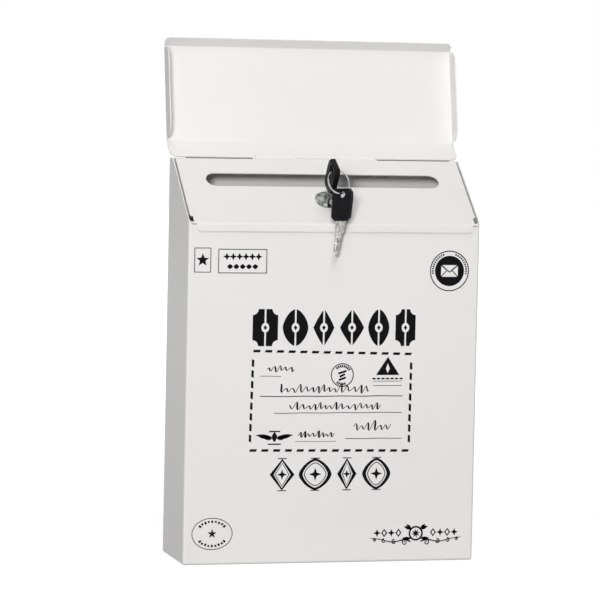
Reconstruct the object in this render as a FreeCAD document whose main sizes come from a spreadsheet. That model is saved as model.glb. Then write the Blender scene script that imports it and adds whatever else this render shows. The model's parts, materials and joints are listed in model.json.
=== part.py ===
import FreeCAD, Part
import math
import os
from types import SimpleNamespace

import Sketcher

# Wall post box of folded sheet steel, with a lid that opens upwards, a rain flap over the letter slot,
# and a quarter turn cam lock with two keys. Millimetres, seen from the front: X to the right,
# Y towards the wall, Z up. The origin is the middle of the four wall screw holes, on the back face.

# Driving dimensions
DIMENSIONS = {
    # housing
    "box_width": 225.0,
    "box_depth": 68.0,
    "back_height": 300.0,
    "front_height": 255.0,
    "flat_depth": 10.0,
    "metal": 0.8,
    "bend_radius": 2.0,
    "front_drop": 3.0,
    "return_depth": 8.0,
    # back panel and its wall screws
    "seat_gap": 0.05,
    "tray_depth": 12.0,
    "back_drop": 2.8,
    "tray_relief": 14.0,
    "screw_across": 166.0,
    "screw_margin": 28.0,
    "screw_hole_radius": 3.0,
    # lid
    "lid_side_gap": 1.4,
    "lid_rear": 2.5,
    "lip_gap": 0.3,
    "lip_drop": 6.7,
    "lip_inset": 6.0,
    "lip_corner": 3.2,
    "lip_overlap": 2.4,
    "lip_notch": 0.8,
    "stub_drop": 1.8,
    "edge_notch": 2.0,
    "edge_notch_high": 7.0,
    "edge_notch_low": 0.4,
    "rim_depth": 7.0,
    "rim_start": 1.0,
    "rim_rear": 3.4,
    "rim_front_gap": 9.4,
    "slot_length": 182.0,
    "slot_width": 15.2,
    # rain flap
    "flap_half_width": 113.7,
    "flap_side": 1.2,
    "flap_fold": 19.3,
    "flap_start": 1.24,
    "flap_hinge_notch": 4.0,
    "flap_hinge_play": 0.6,
    "flap_plate": 73.7,
    "flap_lip": 8.4,
    "flap_rim": 14.1,
    "flap_rim_chamfer": 6.0,
    "flap_rim_round": 11.0,
    "flap_corner": 6.0,
    "flap_lip_corner": 4.0,
    "flap_open_angle": 139.3,
    "flap_axis_back": 4.0,
    # hinges
    "leaf_metal": 0.7,
    "knuckle_radius": 1.5,
    "pin_radius": 0.75,
    "pin_play": 0.05,
    "knuckle_gap": 0.3,
    "leaf_clear": 0.4,
    "lid_hinge_length": 150.0,
    "wall_leaf_width": 12.0,
    "lid_leaf_width": 6.8,
    "lid_axis_back": 2.3,
    "flap_hinge_length": 95.0,
    "low_leaf_width": 5.2,
    "high_leaf_width": 12.0,
    # lock
    "lock_side": 2.0,
    "key_turn_angle": 5.0,
    "rose_radius": 9.2,
    "rose_rim": 0.8,
    "rose_top": 2.3,
    "barrel_radius": 8.0,
    "barrel_flat": 7.1,
    "barrel_depth": 17.4,
    "barrel_play": 0.1,
    "plug_radius": 5.45,
    "plug_play": 0.05,
    "plug_head_radius": 6.6,
    "plug_head_seat": 1.0,
    "plug_head_top": 1.9,
    "keyway_thick": 2.1,
    "keyway_wide": 7.3,
    "keyway_depth": 15.4,
    "wafer_thick": 1.0,
    "wafer_wide": 5.4,
    "wafer_tall": 9.2,
    "wafer_pitch": 3.0,
    "wafer_first": 3.0,
    "wafer_play": 0.1,
    "nut_across": 19.0,
    "nut_thick": 3.0,
    "shank_square": 7.0,
    "shank_length": 1.7,
    "cam_play": 0.1,
    "cam_metal": 1.5,
    "cam_wide": 12.0,
    "cam_reach": 27.0,
    "cam_heel": 7.0,
    "cam_crank": 8.1,
    "cam_crank_start": 10.0,
    "cam_crank_run": 5.0,
    "washer_radius": 5.0,
    "washer_thick": 0.8,
    "screw_radius": 1.95,
    "screw_play": 0.05,
    "screw_bite": 3.2,
    "screw_head_radius": 3.6,
    "screw_head_tall": 2.2,
    # keys
    "key_thick": 1.8,
    "blade_wide": 7.0,
    "blade_length": 17.0,
    "neck_wide": 8.2,
    "neck_length": 8.6,
    "tang_wide": 6.0,
    "tang_length": 9.0,
    "head_thick": 4.6,
    "head_wide": 17.2,
    "head_length": 24.5,
    "head_edge": 0.7,
    "ring_hole_radius": 2.5,
    "ring_hole_place": 4.6,
    "ring_hole_chamfer": 1.3,
    "ring_radius": 9.0,
    "ring_wire": 0.65,
    "ring_opening_angle": 3.0,
    "ring_drop": 1.4,
    "spare_drop": 1.1,
}

doc = FreeCAD.newDocument("wall_post_box")
sheet = doc.addObject("Spreadsheet::Sheet", "Sizes")
for row, (alias, number) in enumerate(DIMENSIONS.items(), start=1):
    sheet.set("A%d" % row, alias)
    sheet.set("B%d" % row, str(number))
    sheet.setAlias("B%d" % row, alias)
doc.recompute()


class Size:
    """A number together with the sheet formula that gives it."""

    def __init__(self, number, formula):
        self.number = number
        self.formula = formula

    def __add__(self, other):
        other = as_size(other)
        return Size(self.number + other.number, "(%s + %s)" % (self.formula, other.formula))

    def __sub__(self, other):
        other = as_size(other)
        return Size(self.number - other.number, "(%s - %s)" % (self.formula, other.formula))

    def __mul__(self, other):
        other = as_size(other)
        return Size(self.number * other.number, "%s * %s" % (self.formula, other.formula))

    def __truediv__(self, other):
        other = as_size(other)
        return Size(self.number / other.number, "(%s / %s)" % (self.formula, other.formula))

    def __neg__(self):
        return Size(-self.number, "(0 - %s)" % self.formula)


def as_size(value):
    """A plain number becomes a size whose formula is the number itself."""
    if isinstance(value, Size):
        return value
    return Size(float(value), "(%r)" % float(value))


def root(value):
    """The square root of a size."""
    return Size(math.sqrt(value.number), "sqrt(%s)" % value.formula)


ZERO = as_size(0.0)
d = SimpleNamespace(**{name: Size(getattr(sheet, name), "Sizes." + name) for name in DIMENSIONS})

# The lid's slope: its run and drop, and its direction as a cosine and a sine
slope_run = d.box_depth - d.flat_depth
slope_drop = d.back_height - d.front_height
slope_length = root(slope_run * slope_run + slope_drop * slope_drop)
slope_cos = slope_run / slope_length
slope_sin = slope_drop / slope_length
slope_angle = Size(
    math.degrees(math.atan2(slope_drop.number, slope_run.number)),
    "atan(%s / %s)" % (slope_drop.formula, slope_run.formula),
)

# Places down the slope: the letter slot and the lock as shares of its length, the rims' lower ends
SLOT_SHARE = 0.334
LOCK_SHARE = 0.644
slot_place = slope_length * SLOT_SHARE
lock_place = slope_length * LOCK_SHARE
rim_stop = slope_length - d.rim_front_gap

# Wall screws: the middle of the back, and the rise from the lower to the upper holes
hang_height = d.back_height / 2
screw_rise = d.back_height - d.screw_margin * 2


def on_slope(along, above):
    """Y and Z of a point a distance down the slope and a height above the lid's outer face."""
    y = -d.flat_depth - slope_cos * along - slope_sin * above
    z = d.back_height - slope_sin * along + slope_cos * above
    return y, z


# Helpers that draw and build
def new_body(label):
    """A body whose label names its file."""
    body = doc.addObject("PartDesign::Body", label)
    body.Label = label
    return body


def origin_part(body, role):
    """One of the body's own origin planes or axes."""
    return next(item for item in body.Origin.OriginFeatures if item.Role == role)


def new_sketch(body, name, role, shift=(ZERO, ZERO, ZERO), tilt=None):
    """A sketch on an origin plane, shifted in the plane's own axes and tilted about its first one."""
    sketch = body.newObject("Sketcher::SketchObject", name)
    sketch.AttachmentSupport = (origin_part(body, role), [""])
    sketch.MapMode = "FlatFace"
    base = FreeCAD.Vector(*[as_size(value).number for value in shift])
    angle = tilt.number if tilt else 0.0
    sketch.AttachmentOffset = FreeCAD.Placement(base, FreeCAD.Rotation(FreeCAD.Vector(1, 0, 0), angle))
    for axis, value in zip("xyz", shift):
        sketch.setExpression("AttachmentOffset.Base." + axis, as_size(value).formula)
    if tilt:
        sketch.setExpression("AttachmentOffset.Rotation.Angle", tilt.formula)
    return sketch


def fix_point(sketch, geometry, position, point):
    """Ties one point of the sketch to a place given by two sizes."""
    for kind, axis, value in zip(("DistanceX", "DistanceY"), "xy", point):
        value = as_size(value)
        index = sketch.addConstraint(Sketcher.Constraint(kind, -1, 1, geometry, position, value.number))
        label = "g%d_%s" % (geometry, axis)
        sketch.renameConstraint(index, label)
        sketch.setExpression("Constraints." + label, value.formula)


def draw_polygon(sketch, points):
    """A closed outline of straight lines through the given points."""
    points = [(as_size(x), as_size(y)) for x, y in points]
    corners = [FreeCAD.Vector(x.number, y.number, 0) for x, y in points]
    first = sketch.GeometryCount
    for start, end in zip(corners, corners[1:] + corners[:1]):
        sketch.addGeometry(Part.LineSegment(start, end), False)
    count = len(points)
    for index, point in enumerate(points):
        following = first + (index + 1) % count
        sketch.addConstraint(Sketcher.Constraint("Coincident", first + index, 2, following, 1))
        fix_point(sketch, first + index, 1, point)


def draw_box(sketch, low, high):
    """A rectangle between two corners."""
    draw_polygon(sketch, [low, (high[0], low[1]), high, (low[0], high[1])])


def draw_circle(sketch, centre, radius):
    """A circle with its centre and radius tied to sizes."""
    centre = [as_size(value) for value in centre]
    middle = FreeCAD.Vector(centre[0].number, centre[1].number, 0)
    index = sketch.addGeometry(Part.Circle(middle, FreeCAD.Vector(0, 0, 1), radius.number), False)
    fix_point(sketch, index, 3, centre)
    ring = sketch.addConstraint(Sketcher.Constraint("Radius", index, radius.number))
    label = "g%d_radius" % index
    sketch.renameConstraint(ring, label)
    sketch.setExpression("Constraints." + label, radius.formula)


def pad(body, sketch, length, middle=False, back=False):
    """Adds material from a sketch."""
    feature = body.newObject("PartDesign::Pad", sketch.Name + "_pad")
    feature.Profile = sketch
    feature.Length = length.number
    feature.setExpression("Length", length.formula)
    feature.Midplane = middle
    feature.Reversed = back
    doc.recompute()
    return feature


def pocket(body, sketch, length=None, middle=False, back=False):
    """Takes material away, to a depth or right through, and makes sure that something went."""
    before = body.Shape.Volume
    feature = body.newObject("PartDesign::Pocket", sketch.Name + "_pocket")
    feature.Profile = sketch
    if length is None:
        feature.Type = "ThroughAll"
    else:
        feature.Length = length.number
        feature.setExpression("Length", length.formula)
    feature.Midplane = middle
    feature.Reversed = back
    doc.recompute()
    if not body.Shape.Volume < before:
        raise RuntimeError("%s cuts nothing" % feature.Name)
    return feature


def revolve(body, sketch):
    """Turns a sketch of the XZ plane once round the upright axis."""
    feature = body.newObject("PartDesign::Revolution", sketch.Name + "_turned")
    feature.Profile = sketch
    feature.ReferenceAxis = (sketch, ["V_Axis"])
    feature.Angle = 360.0
    doc.recompute()
    return feature


def repeat(body, originals, role, pitch, count):
    """Copies features in a row along an origin axis."""
    pattern = body.newObject("PartDesign::LinearPattern", originals[0].Name + "_row")
    pattern.Originals = originals
    pattern.Direction = (origin_part(body, role), [""])
    reach = pitch * (count - 1)
    pattern.Length = reach.number
    pattern.setExpression("Length", reach.formula)
    pattern.Occurrences = count
    body.Tip = pattern
    doc.recompute()
    return pattern


def straight_edges(shape, axis, spots, reach=0.02):
    """Names of the edges parallel to an axis, 0 to 2, that pass the spots in the other two axes."""
    others = [index for index in range(3) if index != axis]
    spots = [(as_size(a).number, as_size(b).number) for a, b in spots]
    names = []
    for number, edge in enumerate(shape.Edges, start=1):
        if edge.Degenerated or edge.Curve.TypeId != "Part::GeomLine":
            continue
        along = edge.Vertexes[-1].Point - edge.Vertexes[0].Point
        if abs(abs(along[axis]) - along.Length) > reach:
            continue
        middle = edge.CenterOfMass
        for spot in spots:
            if abs(middle[others[0]] - spot[0]) < reach and abs(middle[others[1]] - spot[1]) < reach:
                names.append("Edge%d" % number)
    return names


def smooth(body, kind, edges, radius):
    """A fillet or chamfer on named edges of the body as it is so far."""
    if not edges:
        raise RuntimeError("%s: no edge to round" % body.Label)
    base = body.Tip
    feature = body.newObject("PartDesign::" + kind, "%s_%s_%d" % (body.Name, kind, len(body.Group)))
    feature.Base = (base, edges)
    name = "Radius" if kind == "Fillet" else "Size"
    setattr(feature, name, radius.number)
    feature.setExpression(name, radius.formula)
    doc.recompute()
    if "Invalid" in feature.State:
        raise RuntimeError("%s did not build" % feature.Name)
    return feature


def round_edges(body, axis, spots, radius):
    """Rounds the edges parallel to an axis at the given spots."""
    return smooth(body, "Fillet", straight_edges(body.Shape, axis, spots), radius)


def place(item, base, turns=()):
    """Puts a sub-part at its place, after turns about the X, Y or Z axis that are applied in order."""
    base = [as_size(value) for value in base]
    rotation = FreeCAD.Rotation()
    for axis, angle in turns:
        rotation = rotation * FreeCAD.Rotation(axis, as_size(angle).number)
    spot = FreeCAD.Vector(*[value.number for value in base])
    item.Placement = FreeCAD.Placement(spot, rotation)
    for axis, value in zip("xyz", base):
        item.setExpression("Placement.Base." + axis, value.formula)


AXIS_X = FreeCAD.Vector(1, 0, 0)
AXIS_Y = FreeCAD.Vector(0, 1, 0)
AXIS_Z = FreeCAD.Vector(0, 0, 1)
half_width = d.box_width / 2
inner_radius = d.bend_radius - d.metal
foot = (ZERO, ZERO, -hang_height)
front_edge = d.front_height - d.front_drop

# Levels of the pieces round the lid's hinge and the flap's hinge, above the housing's underside
lid_axis = (-d.lid_axis_back, d.back_height - d.metal - d.knuckle_radius)
flap_axis = (-d.flap_axis_back, d.back_height + d.knuckle_radius)


# Housing: front, sides and bottom folded from one sheet
def make_body_shell():
    body = new_body("body_shell")
    outline = new_sketch(body, "shell_outline", "YZ_Plane")
    draw_polygon(outline, [
        (0, 0),
        (-d.box_depth, 0),
        (-d.box_depth, d.front_height),
        (-d.flat_depth, d.back_height),
        (0, d.back_height),
    ])
    pad(body, outline, d.box_width, middle=True)
    hollow = new_sketch(body, "shell_hollow", "YZ_Plane")
    draw_box(hollow, (-d.box_depth + d.metal, d.metal), (d.metal, d.back_height + d.metal))
    pocket(body, hollow, d.box_width - d.metal * 2, middle=True)
    for inset, radius in ((d.metal, inner_radius), (ZERO, d.bend_radius)):
        sides = (inset - half_width, half_width - inset)
        bends = straight_edges(body.Shape, 2, [(side, inset - d.box_depth) for side in sides])
        bends += straight_edges(body.Shape, 1, [(side, inset) for side in sides])
        bends += straight_edges(body.Shape, 0, [(inset - d.box_depth, inset)])
        smooth(body, "Fillet", bends, radius)

    opening_half = half_width - d.bend_radius
    opening = new_sketch(body, "front_opening", "XZ_Plane", (ZERO, ZERO, d.box_depth - d.metal * 3))
    notch_half = half_width - d.lip_inset - d.lip_overlap
    shelf_half = notch_half - d.lip_notch
    relief = front_edge - d.bend_radius - d.metal
    stub_top = d.front_height - d.stub_drop
    draw_polygon(opening, [
        (-opening_half, stub_top),
        (-notch_half, stub_top),
        (-notch_half, relief),
        (-shelf_half, relief),
        (-shelf_half, front_edge),
        (shelf_half, front_edge),
        (shelf_half, relief),
        (notch_half, relief),
        (notch_half, stub_top),
        (opening_half, stub_top),
        (opening_half, d.front_height + d.metal),
        (-opening_half, d.front_height + d.metal),
    ])
    pocket(body, opening, d.metal * 5, back=True)
    shelf = new_sketch(body, "front_return", "YZ_Plane")
    inside = d.metal - d.box_depth
    draw_box(shelf, (inside, front_edge - d.metal), (d.return_depth - d.box_depth, front_edge))
    pad(body, shelf, shelf_half * 2, middle=True)
    round_edges(body, 0, [(-d.box_depth + d.metal, front_edge - d.metal)], inner_radius)
    round_edges(body, 0, [(-d.box_depth, front_edge)], d.bend_radius)
    place(body, foot)
    return body


# Back panel: a shallow tray between the side walls, with the four wall screw holes
def make_back_panel():
    body = new_body("back_panel")
    half = half_width - d.metal - d.seat_gap
    low = d.metal + d.seat_gap
    high = d.back_height - d.back_drop
    tray = new_sketch(body, "tray", "XZ_Plane")
    draw_box(tray, (-half, low), (half, high))
    pad(body, tray, d.tray_depth)
    hollow = new_sketch(body, "tray_hollow", "XZ_Plane", (ZERO, ZERO, d.metal))
    draw_box(hollow, (d.metal - half, low + d.metal), (half - d.metal, high + d.metal))
    pocket(body, hollow, d.tray_depth, back=True)
    for inset, radius in ((d.metal, inner_radius), (ZERO, d.bend_radius)):
        bends = straight_edges(body.Shape, 2, [(inset - half, -inset), (half - inset, -inset)])
        bends += straight_edges(body.Shape, 0, [(-inset, low + inset)])
        bends += straight_edges(body.Shape, 1, [(inset - half, low + inset), (half - inset, low + inset)])
        smooth(body, "Fillet", bends, radius)
    relief = new_sketch(body, "tray_relief", "YZ_Plane")
    draw_polygon(relief, [
        (-d.tray_depth - d.metal, high - d.tray_relief - d.metal),
        (-d.bend_radius - d.metal, high + d.metal),
        (-d.tray_depth - d.metal, high + d.metal),
    ])
    pocket(body, relief, d.box_width, middle=True)
    holes = new_sketch(body, "wall_screw_holes", "XZ_Plane")
    for side in (-1, 1):
        for rise in (-1, 1):
            centre = (d.screw_across * (side / 2), hang_height + screw_rise * (rise / 2))
            draw_circle(holes, centre, d.screw_hole_radius)
    pocket(body, holes, d.tray_depth, middle=True)
    place(body, foot)
    return body


def draw_slot(sketch, middle, half_length, radius):
    """A slot with round ends, lying along the sketch's first axis."""
    y = as_size(middle)
    reach = half_length - radius
    left = FreeCAD.Vector(-reach.number, y.number, 0)
    right = FreeCAD.Vector(reach.number, y.number, 0)
    up = FreeCAD.Vector(0, radius.number, 0)
    turn = math.pi / 2
    sketch.addGeometry(Part.LineSegment(left - up, right - up), False)
    sketch.addGeometry(Part.ArcOfCircle(Part.Circle(right, AXIS_Z, radius.number), -turn, turn), False)
    sketch.addGeometry(Part.LineSegment(right + up, left + up), False)
    sketch.addGeometry(Part.ArcOfCircle(Part.Circle(left, AXIS_Z, radius.number), turn, 3 * turn), False)
    for first, first_end, second, second_end in ((0, 2, 1, 1), (1, 2, 2, 1), (2, 2, 3, 1), (3, 2, 0, 1)):
        sketch.addConstraint(Sketcher.Constraint("Tangent", first, first_end, second, second_end))
    fix_point(sketch, 1, 3, (reach, y))
    fix_point(sketch, 3, 3, (-reach, y))
    index = sketch.addConstraint(Sketcher.Constraint("Radius", 1, radius.number))
    sketch.renameConstraint(index, "end_radius")
    sketch.setExpression("Constraints.end_radius", radius.formula)


def draw_double_d(sketch, centre, radius, half_flat):
    """A round hole with two upright flats, which stop a lock barrel from turning."""
    x, y = [as_size(value) for value in centre]
    lift = root(radius * radius - half_flat * half_flat)
    middle = FreeCAD.Vector(x.number, y.number, 0)
    angle = math.acos(half_flat.number / radius.number)
    circle = Part.Circle(middle, AXIS_Z, radius.number)
    corners = [(half_flat, -lift), (half_flat, lift), (-half_flat, lift), (-half_flat, -lift)]
    spots = [middle + FreeCAD.Vector(a.number, b.number, 0) for a, b in corners]
    sketch.addGeometry(Part.LineSegment(spots[0], spots[1]), False)
    sketch.addGeometry(Part.ArcOfCircle(circle, angle, math.pi - angle), False)
    sketch.addGeometry(Part.LineSegment(spots[2], spots[3]), False)
    sketch.addGeometry(Part.ArcOfCircle(circle, math.pi + angle, 2 * math.pi - angle), False)
    for first, first_end, second, second_end in ((0, 2, 1, 1), (1, 2, 2, 1), (2, 2, 3, 1), (3, 2, 0, 1)):
        sketch.addConstraint(Sketcher.Constraint("Coincident", first, first_end, second, second_end))
    ends = ((0, 1), (0, 2), (2, 1), (2, 2))
    for (geometry, position), (a, b) in zip(ends, corners):
        for kind, axis, value in (("DistanceX", "x", x + a), ("DistanceY", "y", y + b)):
            index = sketch.addConstraint(Sketcher.Constraint(kind, -1, 1, geometry, position, value.number))
            label = "flat_%d_%d_%s" % (geometry, position, axis)
            sketch.renameConstraint(index, label)
            sketch.setExpression("Constraints." + label, value.formula)
    for geometry in (1, 3):
        index = sketch.addConstraint(Sketcher.Constraint("Radius", geometry, radius.number))
        sketch.renameConstraint(index, "bow_%d" % geometry)
        sketch.setExpression("Constraints.bow_%d" % geometry, radius.formula)


# Lid: flat, slope and front lip folded from one sheet, with the letter slot and the lock's hole
def make_door_panel():
    body = new_body("door_panel")
    half = half_width - d.metal - d.lid_side_gap
    front = d.box_depth + d.lip_gap + d.metal
    fold_y = -front
    fold_z = d.back_height - (front - d.flat_depth) * slope_drop / slope_run
    lip_z = d.front_height - d.lip_drop
    inner_fold = (fold_y + d.metal, fold_z - d.metal * slope_cos / (slope_sin + 1))
    inner_brow = (-d.flat_depth + d.metal * slope_sin / (slope_cos + 1), d.back_height - d.metal)
    section = new_sketch(body, "lid_section", "YZ_Plane")
    draw_polygon(section, [
        (-d.lid_rear, d.back_height),
        (-d.flat_depth, d.back_height),
        (fold_y, fold_z),
        (fold_y, lip_z),
        (fold_y + d.metal, lip_z),
        inner_fold,
        inner_brow,
        (-d.lid_rear, d.back_height - d.metal),
    ])
    pad(body, section, half * 2, middle=True)
    round_edges(body, 0, [(-d.flat_depth, d.back_height), (fold_y, fold_z)], d.bend_radius)
    round_edges(body, 0, [inner_brow, inner_fold], inner_radius)

    rim = new_sketch(body, "lid_rim", "YZ_Plane", (ZERO, ZERO, half - d.metal))
    slant = d.rim_depth / 2
    draw_polygon(rim, [
        (-d.rim_rear, d.back_height - d.metal / 2),
        (-d.flat_depth, d.back_height - d.metal / 2),
        on_slope(rim_stop, -d.metal / 2),
        on_slope(rim_stop - slant, -d.rim_depth),
        on_slope(d.rim_start, -d.rim_depth),
        (-d.rim_rear, d.back_height - slant),
    ])
    rim_pad = pad(body, rim, d.metal)
    mirrored = body.newObject("PartDesign::Mirrored", "lid_rims")
    mirrored.Originals = [rim_pad]
    mirrored.MirrorPlane = (origin_part(body, "YZ_Plane"), [""])
    body.Tip = mirrored
    doc.recompute()

    lip_half = half_width - d.lip_inset
    ends = new_sketch(body, "lip_ends", "XZ_Plane", (ZERO, ZERO, d.box_depth - d.metal))
    for side in (-1, 1):
        draw_box(ends, (lip_half * side, lip_z - d.metal), ((half + d.metal) * side, inner_fold[1]))
    pocket(body, ends, d.metal * 4, back=True)
    round_edges(body, 1, [(-lip_half, lip_z), (lip_half, lip_z)], d.lip_corner)
    brow = (ZERO, -d.flat_depth, d.back_height)
    slot = new_sketch(body, "letter_slot", "XY_Plane", brow, slope_angle)
    draw_slot(slot, -slot_place, d.slot_length / 2, d.slot_width / 2)
    pocket(body, slot, d.metal * 4, middle=True)
    notches = new_sketch(body, "edge_notches", "XY_Plane", brow, slope_angle)
    for side in (-1, 1):
        low = d.edge_notch_low - slope_length
        high = d.edge_notch_high - slope_length
        draw_box(notches, ((half - d.edge_notch) * side, low), ((half + d.metal) * side, high))
    pocket(body, notches, d.metal * 4, middle=True)
    hole = new_sketch(body, "lock_hole", "XY_Plane", brow, slope_angle)
    play = d.barrel_play
    draw_double_d(hole, (-d.lock_side, -lock_place), d.barrel_radius + play, d.barrel_flat + play)
    pocket(body, hole, d.metal * 4, middle=True)
    round_edges(body, 2, [(-half, -d.lid_rear), (half, -d.lid_rear)], d.bend_radius)
    place(body, foot)
    return body


# Rain flap, drawn closed about its hinge axis and then turned open: strip, plate, lip and two rims
def make_rain_flap():
    body = new_body("rain_flap")
    low = d.knuckle_radius
    high = low + d.metal
    fold = (-d.flap_fold, high)
    end = (fold[0] - slope_cos * d.flap_plate, fold[1] - slope_sin * d.flap_plate)
    tip = end[1] - d.flap_lip
    inner_fold = (fold[0] + d.metal * slope_sin / (slope_cos + 1), low)
    inner_end = (end[0] + d.metal, end[1] - d.metal * slope_cos / (slope_sin + 1))
    section = new_sketch(body, "flap_section", "YZ_Plane")
    draw_polygon(section, [
        (-d.flap_start, high),
        fold,
        end,
        (end[0], tip),
        (end[0] + d.metal, tip),
        inner_end,
        inner_fold,
        (-d.flap_start, low),
    ])
    pad(body, section, d.flap_half_width * 2, middle=True)
    round_edges(body, 0, [fold, end], d.bend_radius)
    round_edges(body, 0, [inner_fold, inner_end], inner_radius)

    def on_plate(along, below):
        """Y and Z of a point along the plate from its fold and below its outer face."""
        y = fold[0] - slope_cos * along + slope_sin * below
        z = fold[1] - slope_sin * along - slope_cos * below
        return y, z

    rim = new_sketch(body, "flap_rim", "YZ_Plane", (ZERO, ZERO, d.flap_half_width - d.metal))
    start = d.bend_radius
    stop = d.flap_plate - d.bend_radius
    draw_polygon(rim, [
        on_plate(start, d.metal / 2),
        on_plate(stop, d.metal / 2),
        on_plate(stop, d.flap_rim - d.flap_rim_chamfer),
        on_plate(stop - d.flap_rim_chamfer, d.flap_rim),
        on_plate(start, d.flap_rim),
    ])
    rim_pad = pad(body, rim, d.metal)
    mirrored = body.newObject("PartDesign::Mirrored", "flap_rims")
    mirrored.Originals = [rim_pad]
    mirrored.MirrorPlane = (origin_part(body, "YZ_Plane"), [""])
    body.Tip = mirrored
    doc.recompute()
    round_edges(body, 0, [on_plate(start, d.flap_rim)], d.flap_rim_round)
    edge = d.flap_half_width
    round_edges(body, 2, [(-edge, -d.flap_start), (edge, -d.flap_start)], d.flap_corner)
    round_edges(body, 1, [(-edge, tip), (edge, tip)], d.flap_lip_corner)
    notch = new_sketch(body, "flap_hinge_notch", "XY_Plane")
    notch_half = d.flap_hinge_length / 2 + d.flap_hinge_play
    draw_box(notch, (-notch_half - d.flap_side, -d.flap_hinge_notch), (notch_half - d.flap_side, ZERO))
    pocket(body, notch, high * 2 + d.metal, middle=True)
    base = (d.flap_side, flap_axis[0], flap_axis[1] - hang_height)
    place(body, base, [(AXIS_X, -d.flap_open_angle)])
    return body


# Hinge leaf: a flat plate level with the top of its knuckles, which wrap the pin on the X axis
def make_leaf(label, length, knuckles, parity, width):
    body = new_body(label)
    pitch = length / knuckles
    clear = d.knuckle_radius + d.leaf_clear
    top = d.knuckle_radius
    plate = new_sketch(body, label + "_plate", "YZ_Plane")
    draw_box(plate, (clear, top - d.leaf_metal), (width, top))
    pad(body, plate, length, middle=True)
    start = -length / 2 + pitch * parity + d.knuckle_gap / 2
    barrel = new_sketch(body, label + "_barrel", "YZ_Plane", (ZERO, ZERO, start))
    draw_circle(barrel, (ZERO, ZERO), d.knuckle_radius)
    barrel_pad = pad(body, barrel, pitch - d.knuckle_gap)
    web = new_sketch(body, label + "_web", "YZ_Plane", (ZERO, ZERO, start))
    draw_box(web, (ZERO, top - d.leaf_metal), (clear + d.leaf_clear, top))
    web_pad = pad(body, web, pitch - d.knuckle_gap)
    count = (knuckles - parity + 1) // 2
    repeat(body, [barrel_pad, web_pad], "X_Axis", pitch * 2, count)
    bore = new_sketch(body, label + "_bore", "YZ_Plane")
    draw_circle(bore, (ZERO, ZERO), d.pin_radius + d.pin_play)
    pocket(body, bore, length + d.metal, middle=True)
    return body


def make_pin(label, length, axis):
    """A plain pin along X on a hinge axis."""
    pin = doc.addObject("Part::Cylinder", label)
    pin.Label = label
    pin.Radius = d.pin_radius.number
    pin.setExpression("Radius", d.pin_radius.formula)
    pin.Height = length.number
    pin.setExpression("Height", length.formula)
    place(pin, (-length / 2, axis[0], axis[1] - hang_height), [(AXIS_Y, 90)])
    return pin


LID_KNUCKLES = 3
FLAP_KNUCKLES = 3


def make_hinges():
    base = (ZERO, lid_axis[0], lid_axis[1] - hang_height)
    wall_leaf = make_leaf("door_hinge_wall_leaf", d.lid_hinge_length, LID_KNUCKLES, 0, d.wall_leaf_width)
    place(wall_leaf, base, [(AXIS_X, -90)])
    lid_leaf = make_leaf("door_hinge_lid_leaf", d.lid_hinge_length, LID_KNUCKLES, 1, d.lid_leaf_width)
    place(lid_leaf, base, [(AXIS_Z, 180)])
    lid_pin = make_pin("door_hinge_pin", d.lid_hinge_length, lid_axis)
    base = (ZERO, flap_axis[0], flap_axis[1] - hang_height)
    low_leaf = make_leaf("flap_hinge_lower_leaf", d.flap_hinge_length, FLAP_KNUCKLES, 0, d.low_leaf_width)
    place(low_leaf, base, [(AXIS_X, 180)])
    high_leaf = make_leaf("flap_hinge_upper_leaf", d.flap_hinge_length, FLAP_KNUCKLES, 1, d.high_leaf_width)
    place(high_leaf, base, [(AXIS_X, -d.flap_open_angle), (AXIS_Z, 180)])
    flap_pin = make_pin("flap_hinge_pin", d.flap_hinge_length, flap_axis)
    return [wall_leaf, lid_leaf, lid_pin, low_leaf, high_leaf, flap_pin]


# Lock: each piece stands on its own axis, with the lid's outer face at zero height
lock_spot = on_slope(lock_place, 0)
lock_base = (-d.lock_side, lock_spot[0], lock_spot[1] - hang_height)
plug_turns = [(AXIS_X, slope_angle), (AXIS_Z, d.key_turn_angle)]
plug_end = d.barrel_depth + d.plug_play * 2
cam_face = plug_end + d.cam_play / 2
shank_end = plug_end + d.shank_length
washer_face = shank_end + d.cam_play / 2


def make_lock_housing():
    body = new_body("lock_housing")
    bore = d.plug_radius + d.plug_play
    seat = d.plug_head_radius + d.plug_play * 2
    profile = new_sketch(body, "housing_profile", "XZ_Plane")
    draw_polygon(profile, [
        (bore, -d.barrel_depth),
        (d.barrel_radius, -d.barrel_depth),
        (d.barrel_radius, ZERO),
        (d.rose_radius, ZERO),
        (d.rose_radius, d.rose_rim),
        (seat + (d.rose_radius - seat) / 3, d.rose_top),
        (seat, d.rose_top),
        (seat, d.plug_head_seat),
        (bore, d.plug_head_seat),
    ])
    revolve(body, profile)
    flats = new_sketch(body, "barrel_flats", "XY_Plane")
    for side in (-1, 1):
        reach = d.barrel_radius + d.metal
        draw_box(flats, (d.barrel_flat * side, -reach), (reach * side, reach))
    pocket(body, flats, d.barrel_depth + d.metal)
    place(body, lock_base, [(AXIS_X, slope_angle)])
    return body


def make_lock_nut():
    body = new_body("lock_nut")
    outline = new_sketch(body, "nut_outline", "XY_Plane", (ZERO, ZERO, -d.metal - d.nut_thick))
    corner = d.nut_across / 2 / math.cos(math.pi / 6)
    turns = [math.radians(60 * index) for index in range(6)]
    draw_polygon(outline, [(corner * math.cos(turn), corner * math.sin(turn)) for turn in turns])
    pad(body, outline, d.nut_thick)
    thread = new_sketch(body, "nut_thread", "XY_Plane")
    draw_circle(thread, (ZERO, ZERO), d.barrel_radius + d.barrel_play)
    pocket(body, thread)
    place(body, lock_base, [(AXIS_X, slope_angle)])
    return body


WAFERS = 4


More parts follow.
